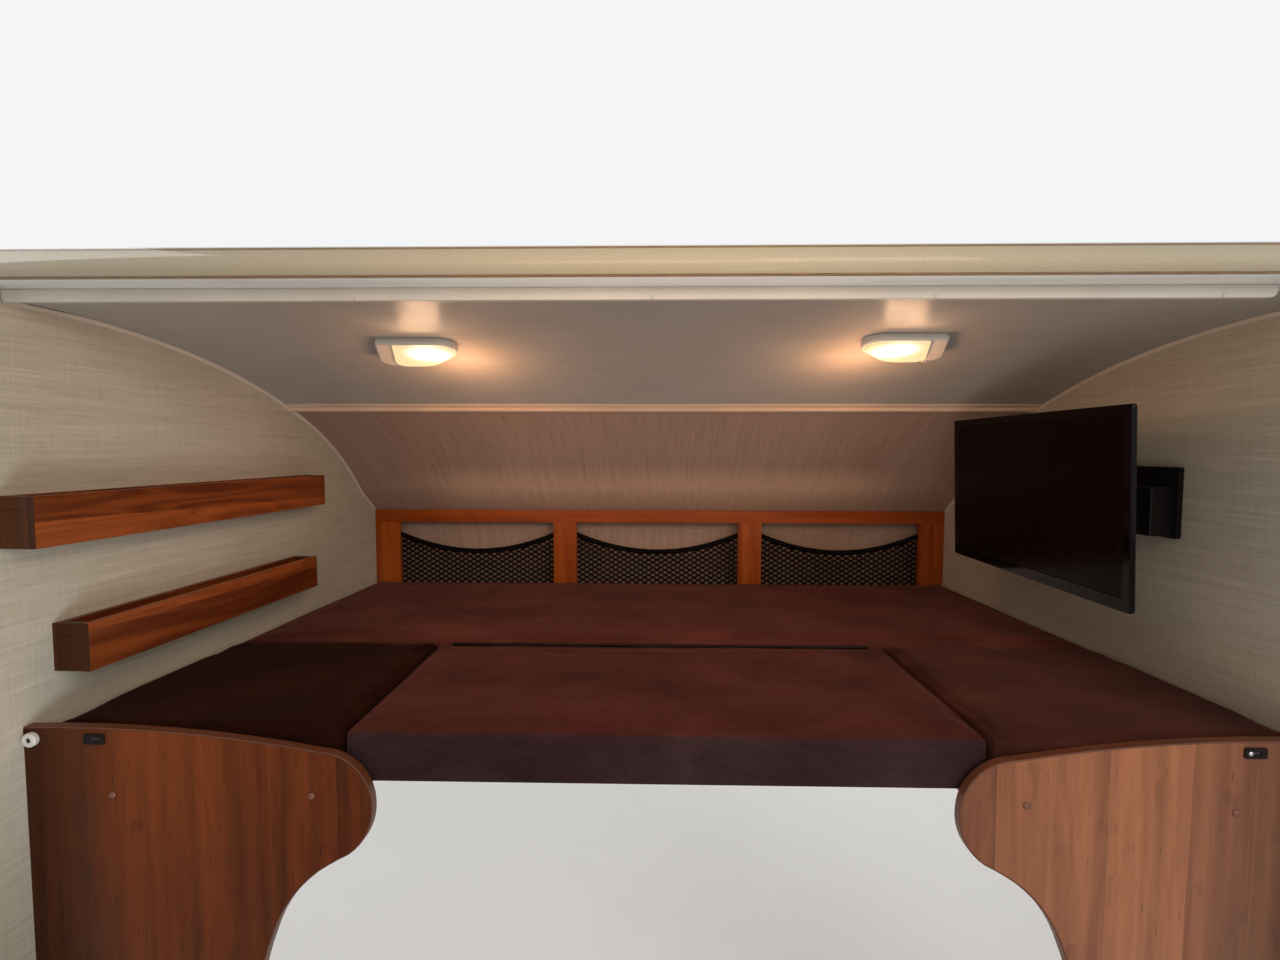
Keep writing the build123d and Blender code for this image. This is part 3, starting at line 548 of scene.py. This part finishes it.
# The pocket rail, board by board.
RAIL_TOP = BED + 0.277
BAR = BED + 0.229
RAIL_FOOT = BED - 0.080
SILL = BED - 0.026
front, back = RAIL_Y, RAIL_Y + RAIL_THICKNESS
end = wall_x(back) - 0.0005
boards("rail_bars", [((-end, front, BAR), (end, back, RAIL_TOP)), ((-end, front, RAIL_FOOT), (end, back, SILL))],
       "cherry across", stands_for=["pocket_rail"])
stiles = [(-end, -end + 0.095), (-0.4045, -0.3135), (0.3135, 0.3705), (0.3705, 0.4045), (end - 0.095, end)]
boards("rail_stiles", [((low, front + 0.0004, SILL), (high, back, BAR)) for low, high in stiles], "cherry stile")


def trough(name, start, length, up, node):
    """A trough shelf on the left wall: front, back, floor and two-part end boards."""
    turn = Matrix.Translation((-HALF, PARTITION_Y, BED + up)) @ Matrix.Rotation(-WALL_TURN, 4, "Z")
    near, far = start - PARTITION_Y, start - PARTITION_Y + length
    depth, height, board, floor = 0.073, 0.092, 0.015, 0.010
    inner = depth - board
    thin = 0.0012
    rails = [((inner, near + thin, 0), (depth, far - thin, height)), ((0, near + thin, 0), (board, far - thin, height)),
             ((board, near + board, 0), (inner, far - board, floor))]
    boards(name, rails, "cherry lengthwise", stands_for=[node], turn=turn)
    ends = []
    for low, high, skin in ((near, near + board, near), (far - board, far, far - thin)):
        ends.append(((board, low, 0), (inner, high, height * 0.74)))
        ends.append(((board, low, height * 0.745), (inner, high, height)))
        ends += [((side, skin, 0), (side + board, skin + thin, height)) for side in (0, inner)]
    # The end boards take the shaded copy of the cherry: painted shade.
    boards(name + "_ends", ends, "cherry end", turn=turn, edge=0.0005)


trough("trough_upper", 0.036, 0.824, 0.340, "shelf_upper")
trough("trough_lower", 0.117, 0.693, 0.092, "shelf_lower")


# Cushions: a closed form on rings and a grid, puffed by the cloth solver, then creased.
PUFF_STEPS, PUFF_RISE, PUFF_BULGE = 20, 0.006, 0.0018
CUSHION_TOP, CUSHION_FOOT = BED - 0.003, BED - 0.0797
SEAM_NEAR, SEAM_FAR = 0.5597, 0.5723
WING_NEAR, WING_EDGE, CENTRE_EDGE = 0.0783, 0.591, 0.586


def ruler(length, near=(0.004, 0.009, 0.016), step=0.015):
    """Distances along an edge, closer together at both ends."""
    count = max(2, round((length - 2 * near[-1]) / step))
    middle = [near[-1] + (length - 2 * near[-1]) * i / count for i in range(1, count)]
    return [0.0, *near, *middle, *[length - d for d in reversed(near)], length]


def cushion_form(name, plan, rings):
    """A closed box cushion. plan gives the corner points for a rounding and an inset; rings are
    (rounding, inset, height) from the top edge down to the underside."""
    a, b, c, d = plan(*rings[0][:2])
    wide = [u / (b - a).length for u in ruler((b - a).length)]
    deep = [v / (d - a).length for v in ruler((d - a).length)]
    nx, ny = len(wide), len(deep)

    def grid(rounding, inset, height):
        a, b, c, d = plan(rounding, inset)
        return [(*((a.lerp(b, u)).lerp(d.lerp(c, u), v)), height) for v in deep for u in wide]

    points = grid(*rings[0])
    edge = ([(i, 0) for i in range(nx)] + [(nx - 1, j) for j in range(1, ny)]
            + [(i, ny - 1) for i in range(nx - 2, -1, -1)] + [(0, j) for j in range(ny - 2, 0, -1)])
    faces = [(j * nx + i, j * nx + i + 1, (j + 1) * nx + i + 1, (j + 1) * nx + i)
             for j in range(ny - 1) for i in range(nx - 1)]
    loop = [j * nx + i for i, j in edge]
    n = len(edge)
    for level in rings[1:-1]:
        ring = grid(*level)
        fresh = [len(points) + k for k in range(n)]
        points += [ring[j * nx + i] for i, j in edge]
        faces += [(loop[k], fresh[k], fresh[(k + 1) % n], loop[(k + 1) % n]) for k in range(n)]
        loop = fresh
    start = len(points)
    points += grid(*rings[-1])
    below = [start + j * nx + i for i, j in edge]
    faces += [(loop[k], below[k], below[(k + 1) % n], loop[(k + 1) % n]) for k in range(n)]
    faces += [(start + j * nx + i, start + (j + 1) * nx + i, start + (j + 1) * nx + i + 1, start + j * nx + i + 1)
              for j in range(ny - 1) for i in range(nx - 1)]
    return new_piece(name, points, faces)


def puff(piece, held_below):
    """Blows the cover up a little over its foam: upwards by at most PUFF_RISE and sideways by PUFF_BULGE."""
    rest = [v.co.copy() for v in piece.data.vertices]
    group = piece.vertex_groups.new(name="held")
    group.add([v.index for v in piece.data.vertices if v.co.z < held_below], 1.0, "REPLACE")
    cloth = piece.modifiers.new("puff", "CLOTH")
    for key, value in {"quality": 5, "mass": 0.35, "tension_stiffness": 22, "compression_stiffness": 22,
                       "shear_stiffness": 8, "bending_stiffness": 2.0, "use_pressure": True,
                       "uniform_pressure_force": 3.2, "vertex_group_mass": "held"}.items():
        setattr(cloth.settings, key, value)
    cloth.settings.effector_weights.gravity = 0
    cloth.collision_settings.use_collision = False
    for step in range(1, PUFF_STEPS + 1):
        bpy.context.scene.frame_set(step)
    solved = piece.evaluated_get(bpy.context.evaluated_depsgraph_get()).to_mesh()
    moved = [v.co.copy() for v in solved.vertices]
    piece.modifiers.remove(cloth)
    piece.vertex_groups.remove(group)
    for vertex, old, new in zip(piece.data.vertices, rest, moved):
        shift = new - old
        shift.z = max(-0.002, min(PUFF_RISE, shift.z))
        for axis in (0, 1):
            shift[axis] = max(-PUFF_BULGE, min(PUFF_BULGE, shift[axis]))
        vertex.co = old + shift
    bpy.context.scene.frame_set(1)


def ruffle(piece, above, creases=()):
    """Sets the worn shape of the cover: a slow swell, small puckers and shallow creases, each given by its
    ends and depth."""
    for vertex in piece.data.vertices:
        p = vertex.co
        if p.z < above:
            continue
        share = min(1.0, (p.z - above) / 0.02)
        swell = noise.noise(Vector((p.x * 4.2, p.y * 5.0, 0.3))) + 0.5 * noise.noise(p * 15)
        lift = 0.0017 * swell
        for start, end, depth in creases:
            a, b = Vector(start), Vector(end)
            along = (b - a).normalized()
            offset = Vector((p.x, p.y)) - a
            run = offset.dot(along)
            if 0 < run < (b - a).length:
                wander = 0.008 * noise.noise(Vector((run * 9, depth * 900, 1.7)))
                away = abs(offset.x * along.y - offset.y * along.x + wander)
                ends = min(1.0, run / 0.06, ((b - a).length - run) / 0.06)
                lift -= depth * ends * max(0.0, 1 - away / 0.016) ** 2
        p.z += share * lift


def cushion(name, node, finish, plan, drop, wrap_foot=None, creases=()):
    """One cushion of the bunk in the space of its CAD solid: top edges rounded over a drop with the boxing seam
    just below them, flat sides and a flat underside, or a cover that wraps down over its board to wrap_foot."""
    low, high = CUSHION_FOOT, CUSHION_TOP
    clear, seam_inset, seam_middle, seam_end = 0.001, 0.0022, 0.0022, 0.0045
    turns = [radians(a) for a in (0, 30, 60, 90)]
    rings = [(1 - sin(t), clear, high - drop * (1 - cos(t))) for t in turns]
    rings += [(0.0, seam_inset, high - drop - seam_middle), (0.0, clear, high - drop - seam_end)]
    bottom = low if wrap_foot is None else wrap_foot
    face_top = high - drop - 0.008
    rings += [(0.0, clear, face_top - (face_top - bottom - 0.004) * k / 4) for k in range(5)]
    rings.append((0.0, 0.003, bottom + 0.0005))
    if wrap_foot is not None:
        rings += [(0.0, 0.0055, bottom), (0.0, 0.0058, bottom + 0.0005), (0.0, 0.0062, low)]
    rings.append((0.0, 0.006 if wrap_foot is None else 0.012, low))
    piece = cushion_form(name, plan, rings)
    held = high - 0.55 * (high - low)
    puff(piece, held)
    ruffle(piece, held, creases)
    for face in piece.data.polygons:
        face.use_smooth = True
    finer = piece.modifiers.new("finer", "SUBSURF")
    finer.levels = finer.render_levels = 1
    settle(piece, finish, cad[node]["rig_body"], [node])
    return piece


def rectangle(x0, x1, y0, y1, rounds=(0.012, 0.012, 0.012, 0.012)):
    """A plan whose left and right sides may taper: x0 and x1 are functions of y, and rounds are the widths of
    the rounded edge at the left, right, near and far side."""
    left, right, close, away = rounds

    def plan(rounding, inset):
        near, far = y0 + inset + rounding * close, y1 - inset - rounding * away
        l, r = inset + rounding * left, inset + rounding * right
        return [Vector((x0(near) + l, near)), Vector((x1(near) - r, near)),
                Vector((x1(far) - r, far)), Vector((x0(far) + l, far))]
    return plan


def right_wall(y):
    """Where a cushion ends beside the right wall."""
    return wall_x(y) - 0.003


def left_wall(y):
    return -right_wall(y)


# Each cushion takes its lit or shaded copy of the suede: painted light and shade.
cushion("cushion_forward", "forward_cushion", "suede brushed up",
        rectangle(left_wall, right_wall, SEAM_FAR, RAIL_Y - 0.0003, (0.018, 0.018, 0.006, 0.016)), 0.014)
cushion("cushion_left", "side_cushion_left", "suede brushed dark",
        rectangle(left_wall, lambda y: -WING_EDGE, WING_NEAR, SEAM_FAR, (0.018, 0.006, 0.014, 0.006)), 0.012)
cushion("cushion_right", "side_cushion_right", "suede brushed down",
        rectangle(lambda y: WING_EDGE, right_wall, WING_NEAR, SEAM_FAR, (0.006, 0.018, 0.014, 0.006)), 0.012)
cushion("cushion_centre", "centre_cushion", "suede",
        rectangle(lambda y: -CENTRE_EDGE, lambda y: CENTRE_EDGE, 0.0855, SEAM_NEAR, (0.006, 0.006, 0.009, 0.006)),
        0.008,
        wrap_foot=BED - 0.099,
        creases=[((-0.47, 0.515), (0.02, 0.468), 0.0030), ((-0.30, 0.530), (0.25, 0.500), 0.0022),
                 ((0.20, 0.478), (0.50, 0.505), 0.0028), ((0.33, 0.470), (0.45, 0.440), 0.0018)])


# Repeated parts, each laid out by a node tree.
def tree_of(name, inputs):
    """A geometry tree with one mesh in, one mesh out and the named inputs, and what adds a node to it."""
    tree = bpy.data.node_groups.new(name, "GeometryNodeTree")
    tree.interface.new_socket("Geometry", in_out="INPUT", socket_type="NodeSocketGeometry")
    tree.interface.new_socket("Geometry", in_out="OUTPUT", socket_type="NodeSocketGeometry")
    for label, kind in inputs:
        tree.interface.new_socket(label, in_out="INPUT", socket_type="NodeSocket" + kind)
    start = tree.nodes.new("NodeGroupInput")
    finish = tree.nodes.new("NodeGroupOutput")
    return tree, start, finish, partial(add_node, tree)


def result_of(piece):
    """The mesh of a piece with its modifiers applied."""
    return bpy.data.meshes.new_from_object(piece.evaluated_get(bpy.context.evaluated_depsgraph_get()))


def grown(name, tree, source, values, finish, stands_for=()):
    """Runs a tree on a source mesh and keeps the result as a plain piece."""
    holder = new_piece("layout", *source) if isinstance(source, tuple) else source
    modifier = holder.modifiers.new("layout", "NODES")
    modifier.node_group = tree
    sockets = {s.name: s.identifier for s in tree.interface.items_tree if s.item_type == "SOCKET"
               and s.in_out == "INPUT"}
    for label, value in {**values, "Finish": finishes[finish]}.items():
        modifier[sockets[label]] = value
    mesh = result_of(holder)
    mesh.name = name
    piece = linked(name, mesh)
    holder.modifiers.remove(modifier)
    bpy.data.objects.remove(holder)
    return settle(piece, finish, "shell", stands_for)


def repeat_tree():
    """Sets one small part at every point of the source, turned to the point's facing."""
    tree, start, finish, add = tree_of("repeat", [("Part", "Object"), ("Spin", "Float"), ("Seed", "Int"),
                                                  ("Finish", "Material")])
    part = add("GeometryNodeObjectInfo", {"Object": start.outputs["Part"]}, transform_space="ORIGINAL")
    facing = add("GeometryNodeInputNamedAttribute", {"Name": "facing"}, data_type="FLOAT_VECTOR")
    aim = add("FunctionNodeAlignRotationToVector", {"Vector": facing.outputs["Attribute"]}, axis="Z")
    turn = add("FunctionNodeRandomValue", {"Seed": start.outputs["Seed"]}, data_type="FLOAT")
    spun = add("ShaderNodeMath", {0: turn.outputs[1], 1: start.outputs["Spin"]}, operation="MULTIPLY")
    axis = add("FunctionNodeAxisAngleToRotation", {"Axis": (0, 0, 1), "Angle": spun.outputs[0]})
    both = add("FunctionNodeRotateRotation", {"Rotation": aim.outputs["Rotation"], "Rotate By": axis.outputs[0]},
               rotation_space="LOCAL")
    dots = add("GeometryNodeMeshToPoints", {"Mesh": start.outputs["Geometry"]})
    placed = add("GeometryNodeInstanceOnPoints", {"Points": dots.outputs[0], "Instance": part.outputs["Geometry"],
                                                  "Rotation": both.outputs[0]})
    real = add("GeometryNodeRealizeInstances", {"Geometry": placed.outputs[0]})
    coated = add("GeometryNodeSetMaterial", {"Geometry": real.outputs[0], "Material": start.outputs["Finish"]})
    tree.links.new(coated.outputs[0], finish.inputs["Geometry"])
    return tree


repeat = repeat_tree()


def turned_part(name, outline, sides=16):
    """A small part turned about Z from (radius, height) pairs."""
    points, faces = [], []
    for radius, height in outline:
        for k in range(sides):
            t = 2 * pi * k / sides
            points.append((radius * cos(t), radius * sin(t), height))
    for i in range(len(outline) - 1):
        for k in range(sides):
            m = (k + 1) % sides
            faces.append((i * sides + k, i * sides + m, (i + 1) * sides + m, (i + 1) * sides + k))
    faces.append(tuple(reversed(range(sides))))
    last = (len(outline) - 1) * sides
    faces.append(tuple(last + k for k in range(sides)))
    part = new_piece(name, points, faces)
    for face in part.data.polygons:
        face.use_smooth = len(face.vertices) == 4
    part.data.set_sharp_from_angle(angle=radians(40))
    return part


def cross_recess(part, reach, width, depth, top):
    """Cuts a cross into the top of a small turned part."""
    cutter = boxes_piece("cross", [((-a, -b, top - depth), (a, b, top + depth))
                                   for a, b in ((reach, width), (width, reach))])
    cut = part.modifiers.new("cross", "BOOLEAN")
    cut.operation = "DIFFERENCE"
    cut.object = cutter
    cut.use_self = True
    mesh = result_of(part)
    part.modifiers.remove(cut)
    part.data = mesh
    bpy.data.objects.remove(cutter)
    return part


pan_outline = [(0.0040, 0.0), (0.0040, 0.0007), (0.0036, 0.0015), (0.0026, 0.0020)]
pan_head = cross_recess(turned_part("pan_head", pan_outline), 0.0017, 0.00045, 0.0009, 0.0020)
cap_head = turned_part("cap_head", [(0.0064, 0.0), (0.0063, 0.0012), (0.0054, 0.0027), (0.0036, 0.0037),
                                    (0.0012, 0.0041)], 20)
plug_head = turned_part("plug_head", [(0.0046, 0.0), (0.0046, 0.0020), (0.0036, 0.0030), (0.0012, 0.0034)], 18)


def repeated(name, places, part, finish):
    """Sets a small part at every (point, facing) pair of places."""
    holder = new_piece("layout", [p for p, _ in places], [])
    facing = holder.data.attributes.new("facing", "FLOAT_VECTOR", "POINT")
    for item, (_, way) in zip(facing.data, places):
        item.vector = way
    return grown(name, repeat, holder, {"Part": part, "Spin": 6.28, "Seed": 3}, finish)


TOWARDS = (0, -1, 0)
boards("lamp_switches", [((x - 0.005, y - 0.004, z - 0.0035), (x + 0.005, y + 0.004, z + 0.004))
                         for x, y, z in ((-0.637, 0.466, -0.0925), (0.620, 0.450, -0.0895))], "white plastic")
strip_up = BED + 0.772
strip_screws = [((x, 0.0540, strip_up), TOWARDS) for x in (-1.039, -0.527, -0.020, 0.453, 0.927)]
repeated("strip_screws", strip_screws, pan_head, "white plastic")
caps = [((x, PARTITION_Y, BED + up), TOWARDS)
        for x, up in ((-1.000, -0.114), (-0.634, -0.111), (0.640, -0.110), (1.001, -0.118))]
repeated("partition_caps", caps, cap_head, "cap plastic")
repeated("button_plug", [((-1.143, 0.0555, BED - 0.011), TOWARDS)], plug_head, "black rubber")
repeated("catch_screws", [((1.018, 0.0572, BED - 0.010), TOWARDS)], pan_head, "bright steel")
boards("catch_wells", [((side * 1.028 - 0.0105, 0.0590, BED - 0.0145), (side * 1.028 + 0.0105, 0.0597, BED - 0.0055))
                       for side in (-1, 1)], "black rubber", edge=0.0)


def net_tree():
    """A net of crossed cords cut to a sagging top edge, with a thicker elastic along that edge."""
    sizes = ("Middle", "Half width", "Foot", "Edge", "Sag", "Depth", "Mesh width", "Mesh height", "Opening", "Elastic")
    tree, start, finish, add = tree_of("net", [(size, "Float") for size in sizes] + [("Finish", "Material")])
    get = start.outputs

    def maths(operation, first, second=0.0, third=0.0):
        return add("ShaderNodeMath", {0: first, 1: second, 2: third}, operation=operation).outputs[0]

    def sag_at(x):
        """Height of the top edge at a distance x from the middle."""
        share = maths("DIVIDE", x, get["Half width"])
        drop = maths("SUBTRACT", 1.0, maths("MULTIPLY", share, share))
        return maths("SUBTRACT", get["Edge"], maths("MULTIPLY", drop, get["Sag"]))

    columns = maths("CEIL", maths("DIVIDE", maths("MULTIPLY", get["Half width"], 3.2), get["Mesh width"]))
    cells = add("GeometryNodeMeshGrid", {"Size X": 1.0, "Size Y": 1.0, "Vertices X": columns, "Vertices Y": columns})
    turned = add("GeometryNodeTransform", {"Geometry": cells.outputs[0], "Rotation": (0, 0, pi / 4)})
    meshes = maths("MULTIPLY", maths("SUBTRACT", columns, 1.0), 0.70710678)
    span = maths("MULTIPLY", meshes, get["Mesh width"])
    rise = maths("MULTIPLY", meshes, get["Mesh height"])
    stretched = add("GeometryNodeTransform", {
        "Geometry": turned.outputs[0], "Scale": add("ShaderNodeCombineXYZ", {0: span, 1: rise, 2: 1.0}).outputs[0]})
    raised = add("GeometryNodeExtrudeMesh", {"Mesh": stretched.outputs[0], "Offset Scale": 0.0})
    opened = add("GeometryNodeScaleElements", {"Geometry": raised.outputs[0], "Selection": raised.outputs[1],
                                               "Scale": get["Opening"]})
    holes = add("GeometryNodeDeleteGeometry", {"Geometry": opened.outputs[0], "Selection": raised.outputs[1]},
                domain="FACE")
    spot = add("ShaderNodeSeparateXYZ", {0: add("GeometryNodeInputPosition").outputs[0]})
    x = maths("MINIMUM", maths("MAXIMUM", spot.outputs[0], maths("MULTIPLY", get["Half width"], -1.0)),
              get["Half width"])
    height = maths("ADD", spot.outputs[1], maths("MULTIPLY", maths("ADD", get["Foot"], get["Edge"]), 0.5))
    z = maths("MINIMUM", maths("MAXIMUM", height, get["Foot"]), sag_at(x))
    ripple = add("ShaderNodeTexNoise", {"Scale": 9.0})
    y = maths("MULTIPLY_ADD", maths("SUBTRACT", ripple.outputs[0], 0.5), 0.004, get["Depth"])
    where = add("ShaderNodeCombineXYZ", {0: maths("ADD", x, get["Middle"]), 1: y, 2: z})
    laid = add("GeometryNodeSetPosition", {"Geometry": holes.outputs[0], "Position": where.outputs[0]})
    flat = maths("LESS_THAN", add("GeometryNodeInputMeshFaceArea").outputs[0], 1e-8)
    cut = add("GeometryNodeDeleteGeometry", {"Geometry": laid.outputs[0], "Selection": flat}, domain="FACE")
    cords = add("GeometryNodeMergeByDistance", {"Geometry": cut.outputs[0], "Distance": 0.000002})
    rim = add("GeometryNodeCurvePrimitiveLine", {"Start": (-1, 0, 0), "End": (1, 0, 0)})
    fine = add("GeometryNodeResampleCurve", {"Curve": rim.outputs[0], "Count": 40})
    run = add("ShaderNodeSeparateXYZ", {0: add("GeometryNodeInputPosition").outputs[0]})
    rim_x = maths("MULTIPLY", run.outputs[0], get["Half width"])
    rim_z = maths("SUBTRACT", sag_at(rim_x), maths("MULTIPLY", get["Elastic"], 0.6))
    rim_y = maths("SUBTRACT", get["Depth"], 0.0004)
    rim_at = add("ShaderNodeCombineXYZ", {0: maths("ADD", rim_x, get["Middle"]), 1: rim_y, 2: rim_z})
    bent = add("GeometryNodeSetPosition", {"Geometry": fine.outputs[0], "Position": rim_at.outputs[0]})
    band = add("GeometryNodeCurvePrimitiveCircle", {"Resolution": 8, "Radius": get["Elastic"]})
    elastic = add("GeometryNodeCurveToMesh", {"Curve": bent.outputs[0], "Profile Curve": band.outputs[0]})
    joined = add("GeometryNodeJoinGeometry")
    tree.links.new(cords.outputs[0], joined.inputs[0])
    tree.links.new(elastic.outputs[0], joined.inputs[0])
    real = add("GeometryNodeRealizeInstances", {"Geometry": joined.outputs[0]})
    coated = add("GeometryNodeSetMaterial", {"Geometry": real.outputs[0], "Material": get["Finish"]})
    tree.links.new(coated.outputs[0], finish.inputs["Geometry"])
    return tree


NET_FOOT_UP, NET_EDGE_UP, NET_SAG = -0.070, 0.190, 0.072
HEM = 0.014
net = net_tree()
net_ends = [(-wall_x(RAIL_Y) + 0.095, -0.4045), (-0.3135, 0.3135), (0.4045, wall_x(RAIL_Y) - 0.095)]
for label, (low, high) in zip(("left", "centre", "right"), net_ends):
    half = (high - low) / 2 + HEM
    sizes = {"Middle": (low + high) / 2, "Half width": half, "Foot": BED + NET_FOOT_UP, "Edge": BED + NET_EDGE_UP,
             "Sag": NET_SAG, "Depth": back + 0.001, "Mesh width": 0.0325, "Mesh height": 0.0200, "Opening": 0.62,
             "Elastic": 0.0100}
    nodes = ["pocket_nets"] if label == "centre" else []
    piece = grown("net_" + label, net, ([(0, 0, 0)], []), sizes, "net cord", stands_for=nodes)
    thick = piece.modifiers.new("cord thickness", "SOLIDIFY")
    thick.thickness = 0.0010

for part in (pan_head, cap_head, plug_head):
    bpy.data.objects.remove(part)


# Floor, light and camera.
ground = new_piece("floor", [(x, y, FLOOR) for x, y in ((-12, -12), (12, -12), (12, 12), (-12, 12))], [(0, 1, 2, 3)])
moulded("pale floor", (0.80, 0.79, 0.77), 0.6, 3.0, 0.0001, 0.01)
ground.data.materials.append(finishes["pale floor"])

world = bpy.data.worlds.new("studio")
bpy.context.scene.world = world
world.use_nodes = True
sky = world.node_tree
sky.nodes.clear()
path = add_node(sky, "ShaderNodeLightPath").outputs
seen = path["Is Camera Ray"]
for kind in ("Is Glossy Ray", "Is Transmission Ray"):
    seen = add_node(sky, "ShaderNodeMath", {0: seen, 1: path[kind]}, operation="MAXIMUM").outputs[0]
light = add_node(sky, "ShaderNodeBackground", {"Color": (1.0, 0.985, 0.96, 1), "Strength": 0.45})
shown = add_node(sky, "ShaderNodeBackground", {"Color": (0.90, 0.91, 0.92, 1), "Strength": 1.0})
swap = add_node(sky, "ShaderNodeMixShader", {0: seen, 1: light.outputs[0], 2: shown.outputs[0]})
add_node(sky, "ShaderNodeOutputWorld", {0: swap.outputs[0]})


def softbox(name, place, target, size, watts, colour=(1, 1, 1), spread=180):
    """A rectangular light at a place, aimed at a target, that the camera doesn't see."""
    lamp = bpy.data.lights.new(name, "AREA")
    lamp.spread = radians(spread)
    lamp.shape = "RECTANGLE"
    lamp.size, lamp.size_y = size
    lamp.energy = watts
    lamp.color = colour
    holder = linked(name, lamp)
    holder.location = place
    holder.rotation_euler = (Vector(target) - Vector(place)).to_track_quat("-Z", "Y").to_euler()
    holder.visible_camera = False


softbox("rear_light", (2.3, -3.0, 0.9), (0, 0.9, -0.5), (2.2, 1.8), 47, (1.0, 0.965, 0.92))
softbox("door_light", (0.44, -0.62, -1.02), (0.68, 0.06, -1.10), (0.3, 0.4), 1.05, (1.0, 0.95, 0.90))
softbox("window_light", (-0.45, -0.50, -1.05), (-1.16, 0.04, -0.58), (0.3, 0.3), 0.65, (0.84, 0.93, 1.0), 75)
softbox("pocket_light", (0.0, 1.06, -0.50), (0.0, 1.40, -0.60), (1.6, 0.06), 0.45, (1.0, 0.70, 0.46))
softbox("room_light", (0.0, -0.55, 0.0), (0, 0.35, -1.0), (0.9, 0.3), 3.1, (1.0, 0.72, 0.52))
softbox("bounce_light", (0.0, 0.62, -0.74), (0.0, 0.55, 0.0), (1.5, 0.7), 2.0, (1.0, 0.80, 0.68))
softbox("front_light", (2.6, 4.6, 2.6), (0, 0.7, -0.8), (2.6, 2.6), 90)
softbox("side_light", (-4.6, 1.0, 1.8), (0, 0.7, -0.8), (2.4, 2.4), 60)
for side, place, core, tip in (("left", (-0.529, 0.322, -0.088), -0.5226, 1),
                               ("right", (0.5114, 0.298, -0.082), 0.4997, -1)):
    ahead = (place[0], -0.3, -0.050)
    softbox("reading_light_" + side, place, ahead, (0.086, 0.02), 0.056, (1.0, 0.58, 0.34))
    softbox("reading_core_" + side, (core, *place[1:]), (core, *ahead[1:]), (0.030, 0.02), 0.070, (1.0, 0.68, 0.42))
    bulb = bpy.data.lights.new("reading_bulb_" + side, "POINT")
    bulb.energy, bulb.color, bulb.shadow_soft_size = 2.1, (1.0, 0.50, 0.24), 0.050
    holder = linked(bulb.name, bulb)
    holder.location = (place[0] + 0.035 * tip, place[1] + 0.150, place[2] - 0.095)
    holder.visible_camera = holder.visible_glossy = False

eye = bpy.data.cameras.new("eye")
eye.lens = 16.197
eye.sensor_width = 36.0
eye.clip_start = 0.02
camera = linked("eye", eye)
camera.location = (-0.0216, -0.9353, -0.2994)
camera.rotation_euler = (radians(86.92), radians(-0.10), radians(1.17))
bpy.context.scene.camera = camera
bpy.context.scene.view_settings.view_transform = "Standard"
